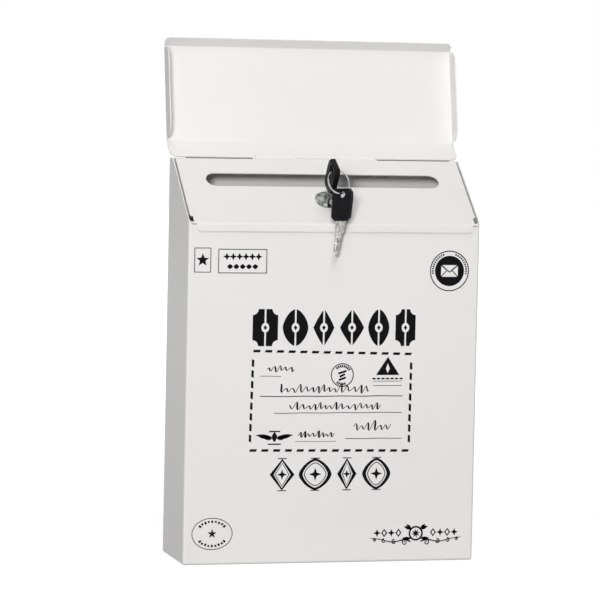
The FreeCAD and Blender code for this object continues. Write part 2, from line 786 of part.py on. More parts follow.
def make_lock_plug():
    body = new_body("lock_plug")
    profile = new_sketch(body, "plug_profile", "XZ_Plane")
    lip = d.plug_head_seat + d.plug_play
    draw_polygon(profile, [
        (ZERO, -plug_end),
        (d.plug_radius, -plug_end),
        (d.plug_radius, lip),
        (d.plug_head_radius, lip),
        (d.plug_head_radius, d.plug_head_top),
        (ZERO, d.plug_head_top),
    ])
    revolve(body, profile)
    square = d.shank_square / 2
    shank = new_sketch(body, "plug_shank", "XY_Plane", (ZERO, ZERO, -plug_end))
    draw_box(shank, (-square, -square), (square, square))
    pad(body, shank, d.shank_length, back=True)
    keyway = new_sketch(body, "keyway", "XY_Plane", (ZERO, ZERO, d.plug_head_top))
    draw_box(keyway, (-d.keyway_thick / 2, -d.keyway_wide / 2), (d.keyway_thick / 2, d.keyway_wide / 2))
    pocket(body, keyway, d.plug_head_top + d.keyway_depth)
    channel = new_sketch(body, "wafer_channel", "XZ_Plane")
    half = d.wafer_wide / 2 + d.wafer_play
    tall = d.wafer_thick / 2 + d.wafer_play
    for index in range(WAFERS):
        level = -d.wafer_first - d.wafer_pitch * index
        draw_box(channel, (-half, level - tall), (half, level + tall))
    pocket(body, channel, d.plug_radius * 3, middle=True)
    tapping = new_sketch(body, "screw_tapping", "XY_Plane", (ZERO, ZERO, -shank_end))
    draw_circle(tapping, (ZERO, ZERO), d.screw_radius + d.screw_play)
    pocket(body, tapping, d.screw_bite + d.screw_play, back=True)
    place(body, lock_base, plug_turns)
    return body


def make_lock_wafers():
    body = new_body("lock_wafers")
    profile = new_sketch(body, "wafer_sections", "XZ_Plane")
    for index in range(WAFERS):
        level = -d.wafer_first - d.wafer_pitch * index
        draw_box(
            profile,
            (-d.wafer_wide / 2, level - d.wafer_thick / 2),
            (d.wafer_wide / 2, level + d.wafer_thick / 2),
        )
    pad(body, profile, d.wafer_tall, middle=True)
    window = new_sketch(body, "wafer_windows", "XY_Plane")
    half = d.keyway_thick / 2
    draw_box(window, (-half, -d.keyway_wide / 2), (half, d.keyway_wide / 2))
    pocket(body, window)
    place(body, lock_base, plug_turns)
    return body


# Cam: a cranked bar whose far end hooks under the front's return when the plug is turned
def make_lock_cam():
    body = new_body("lock_cam")
    top = -cam_face
    low = top - d.cam_metal
    rise_start = d.cam_crank_start
    rise_end = rise_start + d.cam_crank_run
    crank = root(d.cam_crank * d.cam_crank + d.cam_crank_run * d.cam_crank_run)
    shift = d.cam_metal * (crank - d.cam_crank_run) / d.cam_crank
    section = new_sketch(body, "cam_section", "XZ_Plane")
    draw_polygon(section, [
        (-d.cam_heel, low),
        (rise_start + shift, low),
        (rise_end + shift, low + d.cam_crank),
        (d.cam_reach, low + d.cam_crank),
        (d.cam_reach, top + d.cam_crank),
        (rise_end, top + d.cam_crank),
        (rise_start, top),
        (-d.cam_heel, top),
    ])
    pad(body, section, d.cam_wide, middle=True)
    half = d.cam_wide / 2
    ends = [(-d.cam_heel, -half), (-d.cam_heel, half), (d.cam_reach, -half), (d.cam_reach, half)]
    round_edges(body, 2, ends, half - d.cam_play)
    square = d.shank_square / 2 + d.cam_play
    hole = new_sketch(body, "cam_hole", "XY_Plane")
    draw_box(hole, (-square, -square), (square, square))
    pocket(body, hole)
    place(body, lock_base, plug_turns + [(AXIS_Z, 180)])
    return body


def make_cam_washer():
    body = new_body("cam_washer")
    ring = new_sketch(body, "washer_ring", "XY_Plane", (ZERO, ZERO, -washer_face))
    draw_circle(ring, (ZERO, ZERO), d.washer_radius)
    draw_circle(ring, (ZERO, ZERO), d.screw_radius + d.screw_play * 2)
    pad(body, ring, d.washer_thick, back=True)
    place(body, lock_base, plug_turns)
    return body


# Shares of the cam screw's head radius: its worn top, and the length and half width of its cross
HEAD_CROWN = 0.7
CROSS_ARM = 0.55
CROSS_THIN = 0.13


def make_cam_screw():
    body = new_body("cam_screw")
    under = washer_face + d.washer_thick
    base = under + d.screw_head_tall
    profile = new_sketch(body, "screw_profile", "XZ_Plane")
    draw_polygon(profile, [
        (ZERO, -base),
        (d.screw_head_radius * HEAD_CROWN, -base),
        (d.screw_head_radius, -base + d.screw_head_tall / 2),
        (d.screw_head_radius, -under),
        (d.screw_radius, -under),
        (d.screw_radius, d.screw_bite - shank_end),
        (ZERO, d.screw_bite - shank_end),
    ])
    revolve(body, profile)
    cross = new_sketch(body, "screw_cross", "XY_Plane", (ZERO, ZERO, -base))
    arm = d.screw_head_radius * CROSS_ARM
    thin = d.screw_head_radius * CROSS_THIN
    draw_polygon(cross, [
        (-thin, -arm), (thin, -arm), (thin, -thin), (arm, -thin),
        (arm, thin), (thin, thin), (thin, arm), (-thin, arm),
        (-thin, thin), (-arm, thin), (-arm, -thin), (-thin, -thin),
    ])
    pocket(body, cross, d.screw_head_tall / 2, back=True)
    place(body, lock_base, plug_turns)
    return body


# Keys: a cut blade whose tang is moulded into the head. Zero height is the blade's shoulder.
BITTING = (0.9, 1.6, 0.5, 1.3)

# Shares of the space between cuts: the first cut's place, a cut's half widths, and the last shoulder
CUT_START = 0.8
CUT_MOUTH = 0.45
CUT_FLOOR = 0.12
CUT_END = 4.3

# Shares of the blade's half width: its tip's taper and half width, and the grooves
TIP_TAPER = 0.8
TIP_HALF = 0.3
GROOVE_SHIFT = 0.35
GROOVE_SPREAD = 0.12
GROOVE_HALF = 0.16

# Shares of a key head's half width at its neck, shoulders and end, and of its length at each corner
HEAD_NECK = 0.55
HEAD_SHOULDER = 0.93
HEAD_END = 0.72
HEAD_SHOULDER_AT = 0.12
HEAD_WIDEST_AT = 0.72
HEAD_CORNER_AT = 0.9


def make_key_blade(label, base, turns):
    body = new_body(label)
    outline = new_sketch(body, label + "_outline", "YZ_Plane")
    blade = d.blade_wide / 2
    neck = d.neck_wide / 2
    tang = d.tang_wide / 2
    cuts = []
    step = d.blade_length / (len(BITTING) + 1)
    for index, depth in enumerate(BITTING):
        middle = -step * (index + CUT_START)
        cuts.append((blade, middle + step * CUT_MOUTH))
        cuts.append((blade - as_size(depth), middle + step * CUT_FLOOR))
        cuts.append((blade - as_size(depth), middle - step * CUT_FLOOR))
    cuts.append((blade, -step * CUT_END))
    draw_polygon(outline, [
        (-tang, d.neck_length + d.tang_length),
        (-tang, d.neck_length),
        (-neck, d.neck_length),
        (-neck, ZERO),
        (-blade, ZERO),
        (-blade, -d.blade_length + blade * TIP_TAPER),
        (-blade * TIP_HALF, -d.blade_length),
        (blade * TIP_HALF, -d.blade_length),
    ] + cuts[::-1] + [
        (blade, ZERO),
        (neck, ZERO),
        (neck, d.neck_length),
        (tang, d.neck_length),
        (tang, d.neck_length + d.tang_length),
    ])
    pad(body, outline, d.key_thick, middle=True)
    for side in (-1, 1):
        name = "%s_ward_%s" % (label, "left" if side < 0 else "right")
        ward = new_sketch(body, name, "YZ_Plane", (ZERO, ZERO, d.key_thick * (side / 2)))
        shift = blade * (-GROOVE_SHIFT - side * GROOVE_SPREAD)
        groove = blade * GROOVE_HALF
        draw_box(ward, (shift - groove, -d.blade_length - d.metal), (shift + groove, ZERO))
        pocket(body, ward, d.key_thick / 4, back=side < 0)
    place(body, base, turns)
    return body


def make_key_head(label, base, turns):
    body = new_body(label)
    outline = new_sketch(body, label + "_outline", "YZ_Plane")
    wide = d.head_wide / 2
    low = d.neck_length
    high = low + d.head_length
    side = [
        (wide * HEAD_NECK, low),
        (wide * HEAD_SHOULDER, low + d.head_length * HEAD_SHOULDER_AT),
        (wide, low + d.head_length * HEAD_WIDEST_AT),
        (wide * HEAD_SHOULDER, low + d.head_length * HEAD_CORNER_AT),
        (wide * HEAD_END, high),
    ]
    draw_polygon(outline, side + [(-across, up) for across, up in side[::-1]])
    pad(body, outline, d.head_thick, middle=True)
    rims = []
    for number, edge in enumerate(body.Shape.Edges, start=1):
        across = [abs(vertex.Point.x) - d.head_thick.number / 2 for vertex in edge.Vertexes]
        flat = abs(edge.Vertexes[0].Point.x - edge.Vertexes[-1].Point.x) < 0.01
        if flat and max(abs(value) for value in across) < 0.01:
            rims.append("Edge%d" % number)
    smooth(body, "Chamfer", rims, d.head_edge)
    tang = new_sketch(body, label + "_tang", "XY_Plane", (ZERO, ZERO, low))
    half = d.tang_wide / 2
    draw_box(tang, (-d.key_thick / 2, -half), (d.key_thick / 2, half))
    pocket(body, tang, d.tang_length, back=True)
    eye = new_sketch(body, label + "_eye", "YZ_Plane")
    draw_circle(eye, (ZERO, high - d.ring_hole_place), d.ring_hole_radius)
    pocket(body, eye, d.head_thick * 2, middle=True)
    rings = []
    for number, edge in enumerate(body.Shape.Edges, start=1):
        if edge.Degenerated or edge.Curve.TypeId != "Part::GeomCircle" or len(edge.Vertexes) != 1:
            continue
        if abs(edge.Curve.Radius - d.ring_hole_radius.number) < 0.01:
            rings.append("Edge%d" % number)
    smooth(body, "Chamfer", rings, d.ring_hole_chamfer)
    place(body, base, turns)
    return body


# Chain of the key in the lock, its ring and the spare key that hangs from the ring
key_rest = d.plug_head_top + d.plug_play
lock_rotation = FreeCAD.Rotation(AXIS_X, slope_angle.number)
plug_rotation = lock_rotation * FreeCAD.Rotation(AXIS_Z, d.key_turn_angle.number)
outward = lock_rotation.multVec(AXIS_Z)
lock_point = FreeCAD.Vector(*[as_size(value).number for value in lock_base])
eye_level = d.neck_length + d.head_length - d.ring_hole_place
key_eye = lock_point + outward * (key_rest + eye_level).number

# How the ring and the spare key hang, in the lock's own frame
RING_DIRECTION = FreeCAD.Vector(0.334, -0.740, -0.584)
RING_FACING = FreeCAD.Vector(0.900, 0.434, -0.035)
SPARE_DIRECTION = FreeCAD.Vector(-0.107, -0.732, -0.673)
SPARE_FACING = FreeCAD.Vector(0.760, 0.376, -0.530)


def square_to(direction, across):
    """A unit vector nearest to across, at right angles to a unit direction."""
    return (across - direction * across.dot(direction)).normalize()


def frame_of(x_axis, z_axis):
    """The rotation that takes X and Z to two directions at right angles."""
    return FreeCAD.Rotation(x_axis, FreeCAD.Vector(), z_axis, "ZXY")


ring_down = lock_rotation.multVec(RING_DIRECTION).normalize()
ring_across = square_to(ring_down, lock_rotation.multVec(RING_FACING))
key_in_plane = square_to(plug_rotation.multVec(AXIS_X), FreeCAD.Vector(0, 0, -1))
ring_top = key_eye + key_in_plane * d.ring_drop.number
ring_centre = ring_top + ring_down * d.ring_radius.number
ring_bottom = ring_centre + ring_down * d.ring_radius.number
spare_down = lock_rotation.multVec(SPARE_DIRECTION).normalize()
spare_across = square_to(spare_down, lock_rotation.multVec(SPARE_FACING))
spare_eye = ring_bottom + spare_down * d.spare_drop.number
spare_base = spare_eye + spare_down * eye_level.number


def set_pose(item, spot, rotation):
    """A free place and attitude, for what hangs on the ring."""
    item.Placement = FreeCAD.Placement(spot, rotation)


WIRE_SIDES = 8


def make_key_ring():
    body = new_body("key_ring")
    wire = new_sketch(body, "wire_section", "XZ_Plane")
    turns = [math.radians(360 / WIRE_SIDES * (index + 0.5)) for index in range(WIRE_SIDES)]
    spots = [(d.ring_wire * math.cos(turn), d.ring_wire * math.sin(turn)) for turn in turns]
    draw_polygon(wire, [(d.ring_radius + across, up) for across, up in spots])
    bent = revolve(body, wire)
    bent.Angle = 360 - d.ring_opening_angle.number
    bent.setExpression("Angle", "360 - %s" % d.ring_opening_angle.formula)
    doc.recompute()
    set_pose(body, ring_centre, frame_of(ring_across, ring_down.cross(ring_across).normalize()))
    return body


def make_keys():
    key_base = [as_size(value) for value in lock_base]
    shift = key_rest
    key_base = [
        key_base[0],
        key_base[1] - slope_sin * shift,
        key_base[2] + slope_cos * shift,
    ]
    blade = make_key_blade("key_blade", key_base, plug_turns)
    head = make_key_head("key_head", key_base, plug_turns)
    ring = make_key_ring()
    spare_blade = make_key_blade("spare_key_blade", (ZERO, ZERO, ZERO), [])
    spare_head = make_key_head("spare_key_head", (ZERO, ZERO, ZERO), [])
    turn = frame_of(spare_across, -spare_down)
    for item in (spare_blade, spare_head):
        for axis in "xyz":
            item.setExpression("Placement.Base." + axis, None)
        set_pose(item, spare_base, turn)
    return [blade, head, ring, spare_blade, spare_head]


pieces = [make_body_shell(), make_back_panel(), make_door_panel(), make_rain_flap()]
pieces += make_hinges()
pieces += [make_lock_housing(), make_lock_nut(), make_lock_plug(), make_lock_wafers(), make_lock_cam()]
pieces += [make_cam_washer(), make_cam_screw()]
pieces += make_keys()
doc.recompute()

for item in doc.Objects:
    if "Invalid" in item.State or "Error" in item.State:
        raise RuntimeError("%s did not build: %s" % (item.Name, item.State))
for piece in pieces:
    if piece.Shape.isNull() or not piece.Shape.isValid():
        raise RuntimeError("%s has no valid shape" % piece.Label)

os.makedirs("parts", exist_ok=True)
for piece in pieces:
    piece.Shape.exportStep("parts/%s.step" % piece.Label)
    print("%s: %.1f mm3, %d solids" % (piece.Label, piece.Shape.Volume, len(piece.Shape.Solids)))
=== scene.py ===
"""Studio scene of a wall mounted post box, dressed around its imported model."""

import json
import logging
import math
from abc import ABC, abstractmethod
from dataclasses import dataclass, field
from enum import Enum

import bmesh
import bpy
import numpy as np
from mathutils import Matrix, Vector


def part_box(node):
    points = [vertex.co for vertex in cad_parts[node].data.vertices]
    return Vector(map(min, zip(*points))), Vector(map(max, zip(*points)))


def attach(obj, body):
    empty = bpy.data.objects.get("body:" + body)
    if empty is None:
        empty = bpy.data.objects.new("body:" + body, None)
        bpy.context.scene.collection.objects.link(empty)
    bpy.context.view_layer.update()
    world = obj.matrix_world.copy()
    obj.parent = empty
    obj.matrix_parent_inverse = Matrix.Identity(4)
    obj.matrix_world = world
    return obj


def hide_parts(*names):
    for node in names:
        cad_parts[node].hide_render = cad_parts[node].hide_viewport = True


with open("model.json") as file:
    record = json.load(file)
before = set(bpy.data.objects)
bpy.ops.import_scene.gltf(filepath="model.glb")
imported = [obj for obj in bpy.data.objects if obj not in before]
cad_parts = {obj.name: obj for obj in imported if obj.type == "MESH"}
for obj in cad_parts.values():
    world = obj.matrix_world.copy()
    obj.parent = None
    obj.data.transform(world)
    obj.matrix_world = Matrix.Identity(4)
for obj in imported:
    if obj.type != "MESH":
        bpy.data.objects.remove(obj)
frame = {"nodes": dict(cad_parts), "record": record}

log = logging.getLogger("post_box")
MM = 0.001
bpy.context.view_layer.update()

Pair = tuple[float, float]
Triple = tuple[float, float, float]


def add_object(name: str, data: bpy.types.ID) -> bpy.types.Object:
    """Puts new data into the scene as an object at the origin."""
    thing = bpy.data.objects.new(name, data)
    bpy.context.scene.collection.objects.link(thing)
    return thing


# Finishes


NOISE_RANGE = (0.3, 0.7)


def new_material(name: str) -> tuple[bpy.types.Material, bpy.types.Node]:
    """Makes a material and gives it with its Principled shader."""
    material = bpy.data.materials.new(name)
    material.use_nodes = True
    return material, material.node_tree.nodes["Principled BSDF"]


def object_noise(tree: bpy.types.NodeTree, scale: float, layers: float) -> bpy.types.NodeSocket:
    """Adds a cloudy pattern that is fixed to the piece.

    Args:
        tree: the node tree that gets it.
        scale: clouds per metre.
        layers: how many finer layers are added.

    Returns:
        The socket that gives the pattern, mostly from 0.3 to 0.7.
    """
    place = tree.nodes.new("ShaderNodeTexCoord")
    noise = tree.nodes.new("ShaderNodeTexNoise")
    noise.inputs["Scale"].default_value = scale
    noise.inputs["Detail"].default_value = layers
    tree.links.new(place.outputs["Object"], noise.inputs["Vector"])
    return noise.outputs["Fac"]


def stretch(
    tree: bpy.types.NodeTree, value: bpy.types.NodeSocket, source: Pair, target: Pair
) -> bpy.types.NodeSocket:
    """Maps a value from one range onto another.

    Args:
        tree: the node tree that gets the step.
        value: the socket that gives the value.
        source: the range that it comes from.
        target: the range that it goes to.

    Returns:
        The socket with the new value.
    """
    step = tree.nodes.new("ShaderNodeMapRange")
    for socket, number in zip(("From Min", "From Max", "To Min", "To Max"), (*source, *target)):
        step.inputs[socket].default_value = number
    tree.links.new(value, step.inputs["Value"])
    return step.outputs["Result"]


def tint(
    tree: bpy.types.NodeTree, pattern: bpy.types.NodeSocket, dark: Triple, light: Triple
) -> bpy.types.NodeSocket:
    """Blends two colours by a cloudy pattern.

    Args:
        tree: the node tree that gets the blend.
        pattern: the pattern that blends.
        dark: the colour of its dark parts.
        light: the colour of its light parts.

    Returns:
        The socket with the colour.
    """
    mix = tree.nodes.new("ShaderNodeMix")
    mix.data_type = "RGBA"
    mix.inputs["A"].default_value = (*dark, 1.0)
    mix.inputs["B"].default_value = (*light, 1.0)
    tree.links.new(stretch(tree, pattern, NOISE_RANGE, (0.0, 1.0)), mix.inputs["Factor"])
    return mix.outputs["Result"]


@dataclass(frozen=True)
class Finish:
    """A finish whose tone and gloss vary in soft clouds, with a fine relief."""

    name: str
    light: Triple
    dark: Triple
    roughness: Pair
    cloud: float
    cloud_layers: float = 3.0
    metallic: float = 0.0
    gloss: float = 0.5
    grain: float = 0.0
    grain_layers: float = 1.0
    grain_depth: float = 0.0

    def material(self) -> bpy.types.Material:
        """Builds the finish: one cloud pattern blends tone and roughness, and a grain roughens it."""
        material, shader = new_material(self.name)
        tree = material.node_tree
        clouds = object_noise(tree, self.cloud, self.cloud_layers)
        shader.inputs["Metallic"].default_value = self.metallic
        shader.inputs["Specular IOR Level"].default_value = self.gloss
        tree.links.new(tint(tree, clouds, self.dark, self.light), shader.inputs["Base Color"])
        tree.links.new(stretch(tree, clouds, NOISE_RANGE, self.roughness), shader.inputs["Roughness"])
        if self.grain_depth:
            self.roughen(tree, shader)
        return material

    def roughen(self, tree: bpy.types.NodeTree, shader: bpy.types.Node) -> None:
        """Raises a fine pattern as a relief on the shader's surface."""
        bump = tree.nodes.new("ShaderNodeBump")
        bump.inputs["Distance"].default_value = self.grain_depth
        bump.inputs["Strength"].default_value = 1.0
        tree.links.new(object_noise(tree, self.grain, self.grain_layers), bump.inputs["Height"])
        tree.links.new(bump.outputs["Normal"], shader.inputs["Normal"])


@dataclass(frozen=True)
class PowderCoat(Finish):
    """Semi-gloss powder coat with a faint orange peel."""

    cloud: float = 9.0
    cloud_layers: float = 4.0
    gloss: float = 0.3
    grain: float = 1100.0
    grain_depth: float = 0.004 * MM


@dataclass(frozen=True)
class PlatedMetal(Finish):
    """Plated metal, with tone and gloss that vary as handling leaves them; on the lock's rosette the
    near-black tone is painted reflection.
    """

    cloud: float = 160.0
    metallic: float = 1.0
    grain_layers: float = 2.0


@dataclass(frozen=True)
class DarkCoat(Finish):
    """A black moulding or ink that is satin and slightly worn."""

    cloud: float = 220.0
    grain: float = 2600.0
    grain_depth: float = 0.004 * MM


class Coat(Enum):
    """Every finish on the object."""

    PAINT = PowderCoat("white_powder_coat", (0.80, 0.79, 0.78), (0.775, 0.768, 0.758), (0.34, 0.42))
    ZINC = PlatedMetal("zinc_plate", (0.66, 0.66, 0.67), (0.55, 0.55, 0.57), (0.30, 0.42))
    BRIGHT = PlatedMetal(
        "bright_nickel", (0.66, 0.68, 0.66), (0.30, 0.32, 0.31), (0.05, 0.15), cloud=260.0
    )
    # The rosette's near-black clouds and grey-green tint are painted reflection, standing for the dark
    # key head mirrored in the nickel.
    ROSETTE_PAINTED_REFLECTION = PlatedMetal(
        "rosette_nickel_painted_reflection", (0.56, 0.59, 0.57), (0.01, 0.015, 0.015), (0.05, 0.14), cloud=190.0
    )
    KEY_STEEL = PlatedMetal(
        "key_nickel", (0.68, 0.67, 0.65), (0.20, 0.20, 0.19), (0.20, 0.36),
        cloud=480.0, grain=2880.0, grain_depth=0.004 * MM,
    )
    BRASS = PlatedMetal("stamped_brass", (0.80, 0.64, 0.33), (0.66, 0.50, 0.24), (0.25, 0.38))
    PLASTIC = DarkCoat(
        "black_moulding", (0.009, 0.009, 0.010), (0.004, 0.004, 0.005), (0.28, 0.40), gloss=0.08
    )
    INK = DarkCoat(
        "black_ink", (0.006, 0.006, 0.007), (0.002, 0.002, 0.003), (0.55, 0.68), gloss=0.05
    )


SLOT_COATS = {
    "white_paint": Coat.PAINT,
    "steel": Coat.ZINC,
    "bright_plate": Coat.BRIGHT,
    "key_steel": Coat.KEY_STEEL,
    "brass": Coat.BRASS,
    "black_plastic": Coat.PLASTIC,
}
# The lock's rosette and plug take the finish with painted reflection.
NODE_COATS = {"lock_housing": Coat.ROSETTE_PAINTED_REFLECTION, "lock_plug": Coat.ROSETTE_PAINTED_REFLECTION}


class PaintShop:
    """Makes each finish once and gives it to pieces."""

    def __init__(self) -> None:
        """Starts with no finish made."""
        self.made: dict[Coat, bpy.types.Material] = {}

    def material(self, coat: Coat) -> bpy.types.Material:
        """The material of a finish, made when first asked for."""
        if coat not in self.made:
            self.made[coat] = coat.value.material()
        return self.made[coat]

    def dress(self, piece: bpy.types.Object, coat: Coat) -> None:
        """Gives a piece one finish all over."""
        piece.data.materials.clear()
        piece.data.materials.append(self.material(coat))

    def dress_nodes(self, nodes: dict[str, bpy.types.Object], record: dict) -> None:
        """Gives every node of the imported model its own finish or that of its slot.

        Args:
            nodes: the node objects by name.
            record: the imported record, which says each node's slot.
        """
        for row in record["subparts"]:
            coat = NODE_COATS.get(row["node"], SLOT_COATS[row["material_slot"]])
            self.dress(nodes[row["node"]], coat)
            log.info("%s: %s", row["node"], coat.value.name)


# Outlines and strokes, in millimetres on the front: x from its middle, z above its bottom edge


def rays(angle: np.ndarray) -> np.ndarray:
    """Directions of length 1 at angles in radians, anticlockwise from x."""
    return np.stack([np.cos(angle), np.sin(angle)], axis=-1)


def quarter_turn(along: np.ndarray) -> np.ndarray:
    """Directions turned a quarter turn anticlockwise."""
    return np.stack([-along[..., 1], along[..., 0]], axis=-1)


def turn_points(count: int) -> np.ndarray:
    """Angles evenly spaced round one turn, in radians, without the last."""
    return np.linspace(0.0, 2.0 * math.pi, count, endpoint=False)


def arc_points(start: float, reach: float, count: int) -> np.ndarray:
    """Angles evenly spaced along an arc that is given in degrees, in radians."""
    return np.radians(np.linspace(start, start + reach, count))


def superellipse(centre: Pair, half: Pair, power: float, count: int = 64) -> np.ndarray:
    """An outline between a diamond and a square.

    At angle a the point is the half size times the cosine and sine of a,
    each raised to 2 / power with its sign kept. Power 1 is a diamond,
    2 an ellipse and 4 or more a rounded rectangle.

    Args:
        centre: the middle.
        half: half the width and half the height.
        power: the exponent.
        count: how many points.

    Returns:
        The outline, one point in each row.
    """
    wave = rays(turn_points(count))
    return np.array(centre) + np.array(half) * np.sign(wave) * np.abs(wave) ** (2.0 / power)


def rectangle(low: Pair, high: Pair) -> np.ndarray:
    """The four corners of an upright rectangle, anticlockwise."""
    return np.array([low, (high[0], low[1]), high, (low[0], high[1])], float)


def star(centre: Pair, outer: float, inner: float, points: int, lean: float = 0.0) -> np.ndarray:
    """A star whose radius steps between two values.

    Args:
        centre: the middle.
        outer: the radius of the tips.
        inner: the radius of the hollows.
        points: how many tips.
        lean: how far it is turned anticlockwise, in radians.

    Returns:
        The outline, starting with the upper tip.
    """
    radius = np.where(np.arange(2 * points) % 2 == 0, outer, inner)
    return np.array(centre) + radius[:, None] * rays(turn_points(2 * points) + math.pi / 2 + lean)


def leaf(root: Pair, tip: Pair, width: float, count: int = 12) -> np.ndarray:
    """A pointed leaf.

    Its half width is half the given width times the sine of pi times the
    way along.

    Args:
        root: where it starts.
        tip: where it ends.
        width: its full width at the middle.
        count: points on each side.

    Returns:
        The outline, anticlockwise.
    """
    start, end = np.array(root, float), np.array(tip, float)
    aside = quarter_turn((end - start) / np.linalg.norm(end - start))
    way = np.linspace(0.0, 1.0, count)
    bulge = 0.5 * width * np.sin(math.pi * way)[:, None] * aside
    line = start + way[:, None] * (end - start)
    return np.concatenate([line - bulge, (line + bulge)[-2:0:-1]])


def spiral(radius: Pair, angle: Pair, count: int) -> np.ndarray:
    """A spiral about the origin whose radius changes evenly with its angle.

    Args:
        radius: the radius at the start and at the end.
        angle: the angle at the start and at the end, in degrees.
        count: how many points.

    Returns:
        The path.
    """
    return np.linspace(*radius, count)[:, None] * rays(np.radians(np.linspace(*angle, count)))


@dataclass(frozen=True)
class Front:
    """The flat front of the body, which carries the print."""

    plane: float
    bottom: float
    film: float = 0.08 * MM
    proud: float = 0.05 * MM

    def place(self, flat: np.ndarray) -> np.ndarray:
        """Puts flat millimetre points on the front, just proud of the paint."""
        depth = np.full(len(flat), self.plane - self.proud)
        return np.stack([flat[:, 0] * MM, depth, self.bottom + flat[:, 1] * MM], axis=1)


@dataclass
class Film:
    """A thin printed film on the front, gathered from outlines, rings and strokes."""

    name: str
    points: list[np.ndarray] = field(default_factory=list)
    faces: list[list[int]] = field(default_factory=list)
    total: int = 0

    def keep(self, points: np.ndarray) -> int:
        """Stores points and gives the number of the first one."""
        first = self.total
        self.points.append(points)
        self.total += len(points)
        return first

    def solid(self, outline: np.ndarray) -> None:
        """Fills an outline, which runs anticlockwise."""
        first = self.keep(outline)
        self.faces.append(list(range(first, self.total)))

    def band(self, inner: np.ndarray, outer: np.ndarray, closed: bool = True) -> None:
        """Fills the strip between two lines of equally many points that run the same way.

        Args:
            inner: the left line, which is the inner one of an anticlockwise ring.
            outer: the right line.
            closed: whether the last point joins the first.
        """
        count = len(inner)
        first = self.keep(np.concatenate([inner, outer]))
        here = np.arange(count if closed else count - 1)
        there = (here + 1) % count
        strip = first + np.stack([here, here + count, there + count, there], axis=1)
        self.faces += strip.tolist()

    def stroke(self, path: np.ndarray | list, width: np.ndarray | float) -> None:
        """Fills an open line of a given width.

        Each side lies half the width from the path, at right angles to it.

        Args:
            path: the middle line.
            width: its width, one value or one for each point.
        """
        path = np.array(path, float)
        run = np.gradient(path, axis=0)
        run = run / np.linalg.norm(run, axis=1)[:, None]
        aside = quarter_turn(run) * (np.broadcast_to(width, len(path))[:, None] / 2)
        self.band(path + aside, path - aside, closed=False)

    def hoop(self, centre: Pair, half: Pair, line: Pair, power: float = 2.0, count: int = 64) -> None:
        """Fills the strip between a superellipse and a smaller one.

        Args:
            centre: the middle of both.
            half: half the width and half the height of the outer one.
            line: how much less they are on the inner one.
            power: the exponent of both.
            count: how many points each has.
        """
        inner = (half[0] - line[0], half[1] - line[1])
        outer = superellipse(centre, half, power, count)
        self.band(superellipse(centre, inner, power, count), outer)

    def frame_line(self, corners: np.ndarray, width: float) -> None:
        """Draws a closed line with sharp corners just inside a rectangle's corners."""
        middle = corners.mean(axis=0)
        self.band(corners - width * np.sign(corners - middle), corners)

    def piece(self, front: Front) -> bpy.types.Object:
        """Makes the mesh, gives it its thickness and fixes it to the box.

        Args:
            front: the face that it is printed on.

        Returns:
            The new object.
        """
        flat = np.concatenate(self.points)
        mesh = bpy.data.meshes.new(self.name)
        mesh.from_pydata(front.place(flat).tolist(), [], self.faces)
        mesh.validate()
        mesh.update()
        piece = add_object(self.name, mesh)
        wall = piece.modifiers.new("thickness", "SOLIDIFY")
        wall.thickness = front.film
        wall.offset = -1.0
        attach(piece, "box")
        return piece


# Printed decoration, with every size in millimetres


class Figure(ABC):
    """A printed figure on a film of its own."""

    @abstractmethod
    def draw(self, film: Film) -> None:
        """Draws the figure on its film."""

    def build(self, name: str, front: Front) -> bpy.types.Object:
        """Draws the figure and prints it as a new piece on the front."""
        film = Film(name)
        self.draw(film)
        return film.piece(front)


@dataclass(frozen=True)
class CornerLabels(Figure):
    """The small framed star and the wider framed pattern at the upper left."""

    small: tuple[Pair, Pair] = ((-107.9, 217.6), (-95.1, 236.0))
    wide: tuple[Pair, Pair] = ((-89.7, 217.1), (-52.5, 235.2))
    line: float = 0.6
    star_radius: float = 5.1
    hollow: float = 0.42
    sparks: int = 6
    spark: float = 2.9
    spark_inset: Pair = (6.5, 5.7)
    lozenges: int = 5
    lozenge: Pair = (2.2, 1.9)
    lozenge_power: float = 1.3
    lozenge_inset: Pair = (9.0, 5.0)

    def draw(self, film: Film) -> None:
        """Draws both labels."""
        for label in (self.small, self.wide):
            film.frame_line(rectangle(*label), self.line)
        middle = np.mean(self.small, axis=0)
        film.solid(star(middle, self.star_radius, self.star_radius * self.hollow, points=5))
        (left, low), (right, high) = self.wide
        inset, drop = self.spark_inset
        for spot in np.linspace(left + inset, right - inset, self.sparks):
            film.solid(star((spot, high - drop), self.spark, self.spark * self.hollow, points=4))
        inset, rise = self.lozenge_inset
        for spot in np.linspace(left + inset, right - inset, self.lozenges):
            film.solid(superellipse((spot, low + rise), self.lozenge, self.lozenge_power, count=24))


